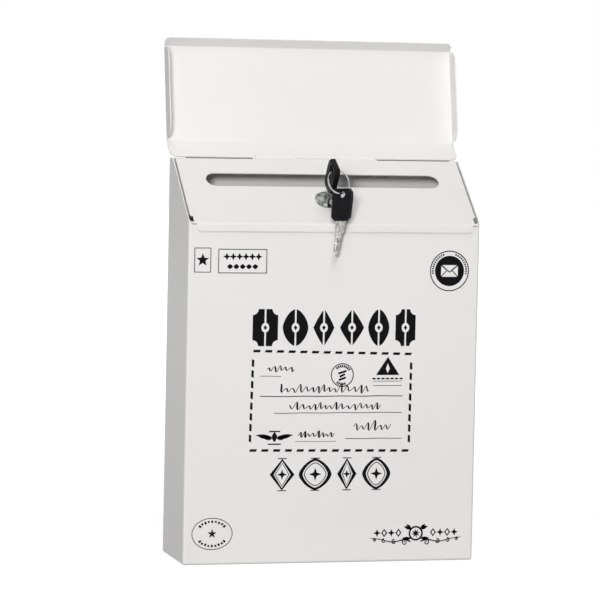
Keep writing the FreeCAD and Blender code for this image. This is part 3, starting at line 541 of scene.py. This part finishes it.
@dataclass(frozen=True)
class RoundEmblem(Figure):
    """The ringed envelope at the upper right."""

    centre: Pair = (89.1, 219.6)
    radius: float = 15.3
    line: float = 0.8
    disc: float = 11.4
    round_steps: int = 96
    envelope: Pair = (6.6, 4.4)
    crease: float = 1.0
    crease_foot: Pair = (0.0, -0.9)
    side_crease: float = 0.7
    side_crease_foot: Pair = (2.2, 0.2)
    arcs: Pair = (112.0, -8.0)
    arc_reach: float = 76.0
    ticks: int = 11
    tick: Pair = (12.4, 13.8)
    tick_width: float = 1.1

    def draw(self, film: Film) -> None:
        """Draws the ring, the dark disc with a light envelope, and two arcs of ticks."""
        middle, half = np.array(self.centre), np.array(self.envelope)
        film.hoop(self.centre, (self.radius,) * 2, (self.line,) * 2, count=self.round_steps)
        ray = self.disc_rays(half)
        reach = 1.0 / np.max(np.abs(ray) / half, axis=1)
        film.band(middle + reach[:, None] * ray, middle + self.disc * ray)
        corners = [middle + half * [-1, 1], middle + self.crease_foot, middle + half]
        film.stroke(corners, self.crease)
        for side in (-1, 1):
            foot = middle + np.array(self.side_crease_foot) * [side, 1]
            film.stroke([middle + half * [side, -1], foot], self.side_crease)
        for start in self.arcs:
            for out in rays(arc_points(start, self.arc_reach, self.ticks)):
                film.stroke([middle + self.tick[0] * out, middle + self.tick[1] * out], self.tick_width)

    def disc_rays(self, half: np.ndarray) -> np.ndarray:
        """Directions round the disc, with one through each corner of the envelope."""
        corner = np.arctan2(half[1], half[0])
        corners = [corner, math.pi - corner, math.pi + corner, 2 * math.pi - corner]
        return rays(np.sort(np.concatenate([turn_points(self.round_steps), corners])))


class Block(Enum):
    """The figures of the heavy heading, by the power of their outline. A ticket has none."""

    DIAMOND = 1.12
    LENS = 1.6
    TICKET = 0.0


@dataclass(frozen=True)
class HeadingBlocks(Figure):
    """Six heavy figures, each split by a stencil's bridge."""

    spans: tuple[Pair, ...] = (
        (-62.6, -43.2), (-39.6, -19.8), (-15.9, 0.2), (4.7, 23.2), (26.5, 43.0), (47.8, 63.4),
    )
    figures: tuple[Block, ...] = (
        Block.TICKET, Block.LENS, Block.DIAMOND, Block.DIAMOND, Block.LENS, Block.TICKET,
    )
    bite: float = 4.4
    low: float = 163.0
    high: float = 190.7
    bridge: float = 1.3
    core: float = 3.0
    core_stretch: float = 1.2
    heart: Pair = (0.45, 0.62)
    blunt: float = 0.06
    edge_steps: int = 36
    hollow_steps: int = 20

    def draw(self, film: Film) -> None:
        """Draws each figure as a left and a right half with a small heart between them."""
        for span, figure in zip(self.spans, self.figures):
            self.halves(film, span, figure)

    def halves(self, film: Film, span: Pair, figure: Block) -> None:
        """Draws one figure.

        The half height at x is the full half height times
        (1 - |x / half width| ^ power) ^ (1 / power). A ticket is a rectangle
        with a quarter circle bitten out of each corner. The heart's hollow is
        an ellipse that is taller than it is wide.

        Args:
            film: the print that it is added to.
            span: the figure's left and right edges.
            figure: which outline it has.
        """
        half = (span[1] - span[0]) / 2
        middle = (np.mean(span), (self.low + self.high) / 2)
        tall = (self.high - self.low) / 2
        away = np.linspace(self.bridge / 2, half, self.edge_steps)
        if figure is Block.TICKET:
            rise = tall - np.sqrt(np.maximum(self.bite**2 - (half - away) ** 2, 0.0))
        else:
            inside = np.maximum(1.0 - (away / half) ** figure.value, 0.0)
            rise = tall * inside ** (1.0 / figure.value)
        rise = np.maximum(rise, self.blunt)
        reach = math.acos(self.bridge / 2 / self.core)
        turns = np.linspace(-reach, reach, self.hollow_steps)
        hollow = self.core * rays(turns) * [1.0, self.core_stretch]
        upper, lower = np.stack([away, rise], axis=1), np.stack([away, -rise], axis=1)[::-1]
        outline = np.concatenate([upper, lower, hollow])
        film.solid(outline[::-1] + middle)
        film.solid(outline * [-1, 1] + middle)
        film.solid(superellipse(middle, self.core * np.array(self.heart), 1.0, count=4))


@dataclass(frozen=True)
class Rule:
    """One ruled line of the letter, slightly uneven as a printed one is."""

    left: float
    right: float
    level: float
    width: float
    waver: float = 0.12
    waver_rate: float = 0.21
    steps: int = 24

    def draw(self, film: Film) -> None:
        """Draws the line, whose height strays with a slow sine."""
        way = np.linspace(self.left, self.right, self.steps)
        strayed = self.level + self.waver * np.sin(way * self.waver_rate)
        film.stroke(np.stack([way, strayed], axis=1), self.width)


@dataclass(frozen=True)
class Scribble:
    """One wavy stroke above a ruled line."""

    left: float
    right: float
    level: float
    tall: float
    swings: int
    steps: int = 20
    drift: Pair = (0.012, 11.0)
    least: float = 0.22
    peaks: Triple = (0.5, 1.7, 0.9)
    peak_power: int = 4
    ripples: Pair = (0.28, 2.3)
    lift: float = 0.35
    lean: float = 0.3
    pen: Triple = (0.5, 0.375, 0.75)

    def draw(self, film: Film, number: int) -> None:
        """Draws the stroke.

        The pen runs evenly to the right, apart from a slight drift, while
        its height swings with the sine of the waves' angle. Slower peaks
        and ripples make some swings tall and others low, the stroke leans
        to the right, and the pen is widest going down.

        Args:
            film: the print that it is added to.
            number: shifts the slower waves, so that no two strokes match.
        """
        way = np.linspace(0.0, 1.0, self.steps * self.swings)
        slow = self.swings * way
        turns = way + self.drift[0] * np.sin(self.drift[1] * way + number)
        angle = 2 * math.pi * self.swings * turns
        height, shift, rate = self.peaks
        peaks = height * np.abs(np.sin(shift * number + rate * slow)) ** self.peak_power
        ripples = self.ripples[0] * np.sin(self.ripples[1] * slow + number) ** 2
        swell = self.least + peaks + ripples
        z = self.tall / 2 * (np.sin(angle) + self.lift) * swell
        x = self.left + (self.right - self.left) * way + self.lean * z
        falling = np.maximum(-np.cos(angle), 0.0)
        width = self.pen[0] + falling * (self.pen[1] + self.pen[2] * swell)
        film.stroke(np.stack([x, self.level + z], axis=1), width)


@dataclass(frozen=True)
class Postmark:
    """The small ring with ticks inside it and three slanted bars."""

    centre: Pair = (7.2, 141.3)
    radius: float = 8.9
    line: float = 0.75
    arcs: tuple[tuple[float, int], ...] = ((38.0, 8), (236.0, 5))
    tick_step: float = 13.0
    tick: Pair = (5.8, 7.7)
    tick_width: float = 1.1
    bars: tuple[Pair, ...] = ((1.1, 6.4), (-1.3, 4.2), (-3.8, 5.4))
    bar_rise: float = 2.0
    bar_width: float = 1.5

    def draw(self, film: Film) -> None:
        """Draws the ring, the ticks and the bars, each bar by its foot's height and its length."""
        film.hoop(self.centre, (self.radius,) * 2, (self.line,) * 2)
        middle = np.array(self.centre)
        for start, count in self.arcs:
            for ray in rays(arc_points(start, self.tick_step * (count - 1), count)):
                film.stroke([middle + self.tick[0] * ray, middle + self.tick[1] * ray], self.tick_width)
        for foot, length in self.bars:
            start = middle + [-length / 2, foot]
            film.stroke([start, start + [length, self.bar_rise]], self.bar_width)


@dataclass(frozen=True)
class TriangleMark:
    """The dark triangle with a light lozenge in it, and the lines under it."""

    peak: Pair = (42.5, 154.8)
    foot: Pair = (33.4, 141.2)
    lozenge_half: float = 1.5
    lozenge_levels: Triple = (0.66, 0.36, 0.1)
    dots: int = 7
    dot: Pair = (1.4, 0.62)
    dot_power: float = 3.0
    dots_reach: float = 10.6
    dots_level: float = 138.5
    lines: Pair = (136.6, 133.3)
    lines_reach: float = 11.2
    line: float = 0.42

    def draw(self, film: Film) -> None:
        """Draws the triangle as a band round its lozenge, then the dots and the lines."""
        (x, top), (left, base) = self.peak, self.foot
        outer = np.array([(x, top), (left, base), (x, base), (2 * x - left, base)])
        upper, middle, lower = (base + (top - base) * share for share in self.lozenge_levels)
        side = self.lozenge_half
        film.band(np.array([(x, upper), (x - side, middle), (x, lower), (x + side, middle)]), outer)
        for spot in np.linspace(-self.dots_reach, self.dots_reach, self.dots):
            film.solid(superellipse((x + spot, self.dots_level), self.dot, self.dot_power, count=16))
        for level in self.lines:
            film.stroke([(x - self.lines_reach, level), (x + self.lines_reach, level)], self.line)


@dataclass(frozen=True)
class WingedMark:
    """The lozenge between two fans of long leaves, with a bar above and below."""

    centre: Pair = (-44.2, 95.2)
    lozenge: Pair = (2.1, 3.8)
    lozenge_power: float = 1.3
    feathers: tuple[tuple[Pair, Pair, float], ...] = (
        ((1.6, -0.04), (14.6, 1.4), 2.6),
        ((1.6, -0.64), (11.6, -0.1), 2.4),
        ((1.6, -1.24), (7.4, -1.6), 1.9),
    )
    bars: tuple[Pair, ...] = ((4.2, 4.1), (5.0, -5.4))
    bar: float = 1.0

    def draw(self, film: Film) -> None:
        """Draws the leaves by root, tip and width, and each bar by its half length and height."""
        middle = np.array(self.centre)
        for side in (-1, 1):
            for root, tip, width in self.feathers:
                feather = leaf(root, tip, width) * [side, 1] + middle
                film.solid(feather[::side])
        film.solid(superellipse(self.centre, self.lozenge, self.lozenge_power, count=24))
        for half, rise in self.bars:
            film.stroke([middle + [-half, rise], middle + [half, rise]], self.bar)


@dataclass(frozen=True)
class DashedBorder(Figure):
    """The letter's dashed edge."""

    corners: tuple[Pair, ...] = ((-63.1, 85.3), (60.2, 84.1), (60.8, 157.0), (-61.6, 159.5))
    dashes: tuple[int, int] = (14, 8)
    dash: Pair = (5.3, 1.9)
    slant: float = 0.35
    inset: Pair = (0.0, 6.4)

    def draw(self, film: Film) -> None:
        """Draws the dashes along the four sides, each with slanted ends."""
        corners = np.array(self.corners)
        half_length, half_width = self.dash[0] / 2, self.dash[1] / 2
        for side, (start, end) in enumerate(zip(corners, np.roll(corners, -1, axis=0))):
            reach = np.linalg.norm(end - start)
            along = (end - start) / reach
            run = half_length * along
            rise = half_width * quarter_turn(along) + self.slant * along
            first = half_length + self.inset[side % 2]
            for way in np.linspace(first, reach - first, self.dashes[side % 2]):
                middle = start + way * along
                film.solid(middle + np.array([-run - rise, run - rise, run + rise, rise - run]))


@dataclass(frozen=True)
class RuledStrokes(Figure):
    """The letter's ruled lines with a wavy stroke over each."""

    rules: tuple[Rule, ...] = (
        Rule(-56.2, -40.1, 140.6, 0.4),
        Rule(-55.9, 54.5, 125.5, 0.65),
        Rule(-44.9, 54.4, 113.0, 0.5),
        Rule(10.4, 54.5, 93.5, 0.5),
        Rule(-28.3, 3.4, 91.6, 0.35),
    )
    scribbles: tuple[Scribble, ...] = (
        Scribble(-51.0, -30.0, 145.6, 6.0, 5),
        Scribble(-41.5, 28.2, 130.0, 7.6, 15),
        Scribble(-34.0, 37.0, 117.0, 6.6, 16),
        Scribble(16.5, 45.0, 101.5, 9.5, 6),
        Scribble(-26.0, 1.6, 96.0, 6.0, 8),
    )

    def draw(self, film: Film) -> None:
        """Draws the ruled lines and then the wavy strokes."""
        for rule in self.rules:
            rule.draw(film)
        for number, scribble in enumerate(self.scribbles):
            scribble.draw(film, number)


@dataclass(frozen=True)
class LetterStamps(Figure):
    """The letter's postmark, triangle and wings."""

    marks: tuple[Postmark | TriangleMark | WingedMark, ...] = (
        Postmark(), TriangleMark(), WingedMark(),
    )

    def draw(self, film: Film) -> None:
        """Draws each mark."""
        for mark in self.marks:
            mark.draw(film)


@dataclass(frozen=True)
class OrnamentRow(Figure):
    """Four outlined figures under the letter, each a thick and a thin line round a small star."""

    spans: tuple[Pair, ...] = ((-47.3, -28.2), (-24.9, 0.5), (4.8, 19.9), (24.3, 46.4))
    powers: tuple[float, ...] = (1.0, 1.5, 1.0, 1.5)
    low: float = 55.1
    high: float = 78.8
    thick_line: Pair = (3.0, 1.8)
    thin_inset: Pair = (3.9, 2.9)
    thin_line: Pair = (0.7, 0.7)
    star_share: Pair = (0.42, 0.15)
    serif_half: float = 3.4
    serif_gap: float = 0.2
    serif_line: float = 0.7

    def draw(self, film: Film) -> None:
        """Draws the figures, each with a thick line that is heavier at the sides."""
        level, tall = (self.low + self.high) / 2, (self.high - self.low) / 2
        for (left, right), power in zip(self.spans, self.powers):
            centre = np.array([(left + right) / 2, level])
            half = np.array([(right - left) / 2, tall])
            film.hoop(centre, half, self.thick_line, power)
            film.hoop(centre, half - self.thin_inset, self.thin_line, power)
            outer, inner = half.min() * np.array(self.star_share)
            film.solid(star(centre, outer, inner, points=4))
            for up in (-1, 1):
                serif = centre + [0.0, up * (tall + self.serif_gap)]
                reach = [self.serif_half, 0.0]
                film.stroke([serif - reach, serif + reach], self.serif_line)


@dataclass(frozen=True)
class OvalStamp(Figure):
    """The oval ring with blocks round its edge and a five-armed mark in the middle."""

    centre: Pair = (-90.5, 23.3)
    half: Pair = (15.6, 12.0)
    line: float = 0.55
    arcs: Pair = (38.0, 218.0)
    arc_reach: float = 104.0
    blocks: int = 9
    block: Pair = (0.68, 0.83)
    block_stagger: float = 0.03
    block_width: float = 1.5
    arms: int = 5
    arm: Pair = (-0.5, 3.4)
    arm_width: float = 1.4

    def draw(self, film: Film) -> None:
        """Draws the ring, both rows of blocks and the mark."""
        film.hoop(self.centre, self.half, (self.line,) * 2, count=96)
        inner, outer = self.block
        for start in self.arcs:
            for number, ray in enumerate(rays(arc_points(start, self.arc_reach, self.blocks))):
                out = self.half * ray
                near = inner + self.block_stagger * (number % 2)
                film.stroke([self.centre + near * out, self.centre + outer * out], self.block_width)
        for ray in rays(turn_points(self.arms) + math.pi / 2):
            root, tip = (self.centre + reach * ray for reach in self.arm)
            film.solid(leaf(root, tip, self.arm_width, count=8))


@dataclass(frozen=True)
class ScrollFlourish(Figure):
    """The scrollwork at the lower right: a medallion, scrolls to both sides and a row of studs."""

    middle: Pair = (67.4, 21.2)
    reach: float = 36.0
    medallion: float = 5.6
    medallion_line: float = 1.3
    sun: Pair = (3.6, 1.5)
    sun_tips: int = 8
    sun_lean: float = 0.2
    vine: Pair = (4.0, 31.5)
    vine_drop: float = 6.2
    vine_wave: Pair = (1.5, 9.5)
    vine_rise: float = 3.0
    vine_width: Pair = (1.1, 0.6)
    vine_steps: int = 60
    scrolls: tuple[Pair, ...] = ((8.5, 2.3), (17.0, 1.9), (25.0, 1.6), (32.0, 1.2))
    scroll_drop: float = 6.9
    scroll_end: float = 0.3
    scroll_turn: Pair = (100.0, -380.0)
    scroll_width: Pair = (1.0, 0.45)
    scroll_steps: int = 40
    leaves: tuple[tuple[Pair, Pair, float], ...] = (
        ((3.54, 3.0), (9.4, 5.4), 2.3),
        ((3.54, -3.6), (10.9, -3.82), 2.2),
        ((3.34, 3.0), (7.4, 7.0), 2.3),
        ((3.34, -3.6), (8.9, -4.3), 2.2),
    )
    studs: tuple[float, ...] = (13.6, 19.2, 24.8, 30.4)
    stud_lift: float = 0.6
    stud_star: Pair = (3.0, 1.2)
    stud_half: Pair = (2.4, 3.2)
    stud_line: Pair = (1.2, 1.3)

    def draw(self, film: Film) -> None:
        """Draws the scrollwork, the same to the left and to the right."""
        film.hoop(self.middle, (self.medallion,) * 2, (self.medallion_line,) * 2, count=48)
        film.solid(star(self.middle, *self.sun, self.sun_tips, self.sun_lean))
        for side in (-1, 1):
            self.vine_and_scrolls(film, side)
            self.leaves_and_studs(film, side)

    def vine_and_scrolls(self, film: Film, side: int) -> None:
        """Draws one side's vine with the scrolls that hang on it.

        The vine's height is a wave that dies out along it, on a rise with
        the square of the way along.

        Args:
            film: the print that it is added to.
            side: -1 for the left, 1 for the right.
        """
        x, z = self.middle
        way = np.linspace(0.0, 1.0, self.vine_steps)
        wave = self.vine_wave[0] * np.sin(self.vine_wave[1] * way) * (1 - way)
        height = z - self.vine_drop + wave + self.vine_rise * way**2
        across = x + side * (self.vine[0] + self.vine[1] * way)
        film.stroke(np.stack([across, height], axis=1), self.vine_width[0] - self.vine_width[1] * way)
        for start, radius in self.scrolls:
            level = z - self.scroll_drop + self.vine_rise * (start / self.reach) ** 2
            path = spiral((radius, self.scroll_end), self.scroll_turn, self.scroll_steps)
            width = np.linspace(*self.scroll_width, self.scroll_steps)
            film.stroke(path * [side, 1] + [x + side * start, level], width)

    def leaves_and_studs(self, film: Film, side: int) -> None:
        """Draws one side's leaves by root, tip and width, and its diamonds and stars in turn.

        Args:
            film: the print that they are added to.
            side: -1 for the left, 1 for the right.
        """
        x, z = self.middle
        for root, tip, width in self.leaves:
            outline = leaf(root, tip, width) * [side, 1] + self.middle
            film.solid(outline[::side])
        for number, start in enumerate(self.studs):
            centre = (x + side * start, z + self.stud_lift)
            if number % 2:
                film.solid(star(centre, *self.stud_star, points=4))
            else:
                film.hoop(centre, self.stud_half, self.stud_line, power=1.0, count=24)


@dataclass(frozen=True)
class Decoration:
    """All the print on the front."""

    figures: tuple[tuple[str, Figure], ...] = (
        ("print_corner_labels", CornerLabels()),
        ("print_round_emblem", RoundEmblem()),
        ("print_heading_blocks", HeadingBlocks()),
        ("print_ornament_row", OrnamentRow()),
        ("print_dashed_border", DashedBorder()),
        ("print_ruled_strokes", RuledStrokes()),
        ("print_letter_stamps", LetterStamps()),
        ("print_oval_stamp", OvalStamp()),
        ("print_scroll_flourish", ScrollFlourish()),
    )

    def build(self, shop: PaintShop) -> None:
        """Finds the front of the body, prints every figure on it and inks it."""
        low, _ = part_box("body_shell")
        front = Front(plane=low.y, bottom=low.z)
        for name, figure in self.figures:
            piece = figure.build(name, front)
            shop.dress(piece, Coat.INK)
            log.info("%s: %d faces", name, len(piece.data.polygons))


# Pieces beside the print


@dataclass(frozen=True)
class FlapShadeBead:
    """The thin dark bead on the lid's flat top, on both sides of the flap's hinge, which is painted
    shade: a dark strip laid in the gap under the flap, where there is only shadow.
    """

    thick: float = 0.5 * MM
    behind: float = 1.1 * MM
    hinge_gap: float = 1.0 * MM
    left_gap: float = 9.0 * MM
    right_gap: float = 3.0 * MM
    round_end: float = 0.6 * MM
    end_steps: tuple[float, ...] = (0.04, 0.3, 0.65, 1.0)
    sides: int = 12

    def build(self, shop: PaintShop) -> None:
        """Lays both runs of the bead, just behind the hinge's pin."""
        lid_low, lid_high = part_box("door_panel")
        hinge_low, hinge_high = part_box("flap_hinge_lower_leaf")
        pin_low, pin_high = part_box("flap_hinge_pin")
        spot = ((pin_low.y + pin_high.y) / 2 + self.behind, lid_high.z + self.thick / 2)
        runs = {
            "flap_shade_bead_left": (lid_low.x + self.left_gap, hinge_low.x - self.hinge_gap),
            "flap_shade_bead_right": (hinge_high.x + self.hinge_gap, lid_high.x - self.right_gap),
        }
        for name, reach in runs.items():
            bead = self.bead(name, reach, spot)
            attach(bead, "door")
            # The black moulding finish makes each run a painted shade line in the gap under the flap.
            shop.dress(bead, Coat.PLASTIC)
            log.info("%s: %d faces", name, len(bead.data.polygons))

    def bead(self, name: str, reach: Pair, spot: Pair) -> bpy.types.Object:
        """Makes one run with rounded ends.

        At the distance d from an end the radius is the full one times the
        square root of 1 - (1 - d / round end) squared, and past it full.

        Args:
            name: its name.
            reach: where it starts and ends along x.
            spot: the y and z of its middle line.

        Returns:
            The new object.
        """
        steps = np.array(self.end_steps)
        inset = steps * self.round_end
        along = np.concatenate([reach[0] + inset, reach[1] - inset[::-1]])
        swell = np.sqrt(1.0 - (1.0 - np.concatenate([steps, steps[::-1]])) ** 2)
        radius = swell[:, None, None] * self.thick / 2
        section = np.array(spot) + radius * rays(turn_points(self.sides))
        x = np.broadcast_to(along[:, None, None], (len(along), self.sides, 1))
        points = np.concatenate([x, section], axis=2)
        ring, side = np.meshgrid(np.arange(len(along) - 1), np.arange(self.sides), indexing="ij")
        here, beside = ring * self.sides + side, ring * self.sides + (side + 1) % self.sides
        walls = np.stack([here, beside, beside + self.sides, here + self.sides], axis=2)
        first_end = list(range(self.sides))[::-1]
        last_end = list(range((len(along) - 1) * self.sides, len(along) * self.sides))
        mesh = bpy.data.meshes.new(name)
        faces = walls.reshape(-1, 4).tolist() + [first_end, last_end]
        mesh.from_pydata(points.reshape(-1, 3).tolist(), [], faces)
        return add_object(name, mesh)


@dataclass(frozen=True)
class SpareBlade:
    """The spare key's blade as the photo shows it, slimmer towards the tip.

    The node has the same blade with even width and its spine on the right.
    Here the spine is on the left, and the cut side runs in towards the tip.
    """

    tip_share: float = 0.48
    full_share: float = 0.28
    sharp: float = math.radians(60.0)
    weld: float = 0.001 * MM

    def build(self, shop: PaintShop) -> None:
        """Makes the blade from a copy of the node's mesh, in the node's place."""
        mesh = frame["nodes"]["spare_key_blade"].data.copy()
        mesh.name = "spare_blade"
        shape = bmesh.new()
        shape.from_mesh(mesh)
        bmesh.ops.remove_doubles(shape, verts=shape.verts, dist=self.weld)
        along = self.axis(shape)
        shape.to_mesh(mesh)
        shape.free()
        points = np.empty(len(mesh.vertices) * 3)
        mesh.vertices.foreach_get("co", points)
        points = self.tapered(points.reshape(-1, 3), along)
        mesh.vertices.foreach_set("co", points.ravel())
        mesh.flip_normals()
        mesh.update()
        blade = add_object("spare_blade", mesh)
        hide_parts("spare_key_blade")
        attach(blade, "spare_key")
        shop.dress(blade, Coat.KEY_STEEL)
        log.info("spare_blade: %d faces", len(mesh.polygons))

    def axis(self, shape: bmesh.types.BMesh) -> np.ndarray:
        """Finds the blade's line from the head to the tip.

        Args:
            shape: the blade's mesh, with its corners joined.

        Returns:
            The direction of its longest sharp edge, away from the head.
        """
        sharp = [edge for edge in shape.edges if edge.calc_face_angle(0.0) > self.sharp]
        spine = max(sharp, key=lambda edge: edge.calc_length())
        along = np.array((spine.verts[1].co - spine.verts[0].co).normalized())
        blade_low, blade_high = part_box("spare_key_blade")
        head_low, head_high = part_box("spare_key_head")
        outward = np.array((blade_low + blade_high) - (head_low + head_high))
        return along * np.sign(along @ outward)

    def tapered(self, points: np.ndarray, along: np.ndarray) -> np.ndarray:
        """Turns the blade over and draws its cut side in.

        The width's direction is the widest one across the blade. A point's
        distance from the right edge becomes its distance from the left edge,
        times a share that falls evenly from 1, where the blade leaves the
        head, to the tip's share.

        Args:
            points: the mesh's points.
            along: the direction from the head to the tip.

        Returns:
            The new points.
        """
        middle = points.mean(axis=0)
        way = (points - middle) @ along
        flat = points - middle - way[:, None] * along
        aside = np.linalg.svd(flat, full_matrices=False)[2][0]
        aside = aside * np.sign(aside[0])
        across = flat @ aside
        way = (way - way.min()) / np.ptp(way)
        run = np.clip((way - self.full_share) / (1.0 - self.full_share), 0.0, 1.0)
        share = 1.0 - (1.0 - self.tip_share) * run
        new_across = across.min() + (across.max() - across) * share
        return points + (new_across - across)[:, None] * aside


# Studio


@dataclass(frozen=True)
class SoftLamp:
    """A square soft lamp that faces the object."""

    name: str
    spot: Triple
    side: float
    power: float
    target: Triple = (0.0, -0.03, 0.03)

    def build(self) -> None:
        """Hangs the lamp and turns it to its target."""
        lamp = bpy.data.lights.new(self.name, "AREA")
        lamp.shape = "SQUARE"
        lamp.size = self.side
        lamp.energy = self.power
        holder = add_object(self.name, lamp)
        holder.location = self.spot
        toward = Vector(self.target) - Vector(self.spot)
        holder.rotation_euler = toward.to_track_quat("-Z", "Y").to_euler()


@dataclass(frozen=True)
class PhotoCamera:
    """The camera at the photograph's view, with a long lens."""

    azimuth: float = 14.95
    elevation: float = 4.04
    roll: float = 1.20
    distance: float = 2.43164
    lens: float = 193.56
    sensor: float = 36.0
    clip: float = 100.0
    target: Triple = (-0.01792, -0.035, 0.04504)

    def build(self) -> None:
        """Places the camera on its ray and makes it the scene's."""
        data = bpy.data.cameras.new("photo_camera")
        data.lens = self.lens
        data.sensor_width = self.sensor
        data.clip_end = self.clip
        side, lift, tilt = np.radians((self.azimuth, self.elevation, self.roll))
        outward = -math.cos(lift)
        back = Vector((math.sin(side) * outward, math.cos(side) * outward, math.sin(lift)))
        level = Vector((math.cos(side), -math.sin(side), 0.0))
        right = math.cos(tilt) * level + math.sin(tilt) * back.cross(level)
        up = back.cross(right)
        turn = Matrix((right, up, back)).transposed()
        holder = add_object("photo_camera", data)
        place = Vector(self.target) + self.distance * back
        holder.matrix_world = Matrix.Translation(place) @ turn.to_4x4()
        bpy.context.scene.camera = holder


def seen_directly(tree: bpy.types.NodeTree) -> bpy.types.NodeSocket:
    """Adds a value that is 1 for camera, glossy and transmission rays, which show a background."""
    path = tree.nodes.new("ShaderNodeLightPath")
    total = path.outputs["Is Camera Ray"]
    for name in ("Is Glossy Ray", "Is Transmission Ray"):
        higher = tree.nodes.new("ShaderNodeMath")
        higher.operation = "MAXIMUM"
        tree.links.new(total, higher.inputs[0])
        tree.links.new(path.outputs[name], higher.inputs[1])
        total = higher.outputs[0]
    return total


@dataclass(frozen=True)
class PaleFloor:
    """A floor that looks white far off and keeps the shadow near the body."""

    half: float = 6.0
    colour: float = 0.5
    roughness: float = 0.9
    white: Pair = (0.72, 1.0)
    fade: Pair = (0.35, 1.4)
    glow: float = 1.27

    def build(self) -> None:
        """Lays the floor at the body's lower edge."""
        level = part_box("body_shell")[0].z
        flat = rectangle((-self.half,) * 2, (self.half,) * 2)
        mesh = bpy.data.meshes.new("floor")
        mesh.from_pydata([(x, y, level) for x, y in flat], [], [(0, 1, 2, 3)])
        mesh.materials.append(self.material())
        add_object("floor", mesh)

    def material(self) -> bpy.types.Material:
        """Makes a matt floor that turns white away from the body for rays that show the background."""
        material, shader = new_material("pale_floor")
        shader.inputs["Base Color"].default_value = (*(self.colour,) * 3, 1.0)
        shader.inputs["Roughness"].default_value = self.roughness
        shader.inputs["Specular IOR Level"].default_value = 0.0
        tree = material.node_tree
        white = tree.nodes.new("ShaderNodeEmission")
        white.inputs["Strength"].default_value = self.glow
        place = tree.nodes.new("ShaderNodeTexCoord")
        away = tree.nodes.new("ShaderNodeVectorMath")
        away.operation = "LENGTH"
        tree.links.new(place.outputs["Object"], away.inputs[0])
        share = tree.nodes.new("ShaderNodeMath")
        share.operation = "MULTIPLY"
        tree.links.new(seen_directly(tree), share.inputs[0])
        tree.links.new(stretch(tree, away.outputs["Value"], self.fade, self.white), share.inputs[1])
        blend = tree.nodes.new("ShaderNodeMixShader")
        tree.links.new(share.outputs[0], blend.inputs["Fac"])
        tree.links.new(shader.outputs["BSDF"], blend.inputs[1])
        tree.links.new(white.outputs["Emission"], blend.inputs[2])
        tree.links.new(blend.outputs["Shader"], tree.nodes["Material Output"].inputs["Surface"])
        return material


@dataclass(frozen=True)
class Studio:
    """A white room with soft lamps, a pale floor and the photograph's camera."""

    ambient: float = 0.1
    lamps: tuple[SoftLamp, ...] = (
        SoftLamp("key_lamp", (-1.279, -2.904, 0.75), 0.58, 58.5),
        SoftLamp("high_lamp", (-0.315, -2.27, 2.293), 0.6, 23.1),
        SoftLamp("top_lamp", (0.0, -0.9, 2.47), 1.2, 14.8),
        SoftLamp("back_lamp", (1.773, 2.5, 0.858), 0.9, 55.0),
    )

    def build(self) -> None:
        """Sets the colour transform, the surroundings, the floor, the lamps and the camera."""
        scene = bpy.context.scene
        scene.view_settings.view_transform = "Standard"
        scene.world = self.surroundings()
        PaleFloor().build()
        for lamp in self.lamps:
            lamp.build()
        PhotoCamera().build()

    def surroundings(self) -> bpy.types.World:
        """Makes the room, white to look at and milder as a light."""
        world = bpy.data.worlds.new("white_room")
        world.use_nodes = True
        tree = world.node_tree
        background = tree.nodes["Background"]
        background.inputs["Color"].default_value = (1.0, 1.0, 1.0, 1.0)
        strength = stretch(tree, seen_directly(tree), (0.0, 1.0), (self.ambient, 1.0))
        tree.links.new(strength, background.inputs["Strength"])
        return world


def main() -> None:
    """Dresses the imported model, prints its front and sets up the studio."""
    logging.basicConfig(level=logging.INFO, format="%(name)s %(message)s")
    shop = PaintShop()
    shop.dress_nodes(frame["nodes"], frame["record"])
    Decoration().build(shop)
    FlapShadeBead().build(shop)
    SpareBlade().build(shop)
    Studio().build()


if __name__ == "__main__":
    main()
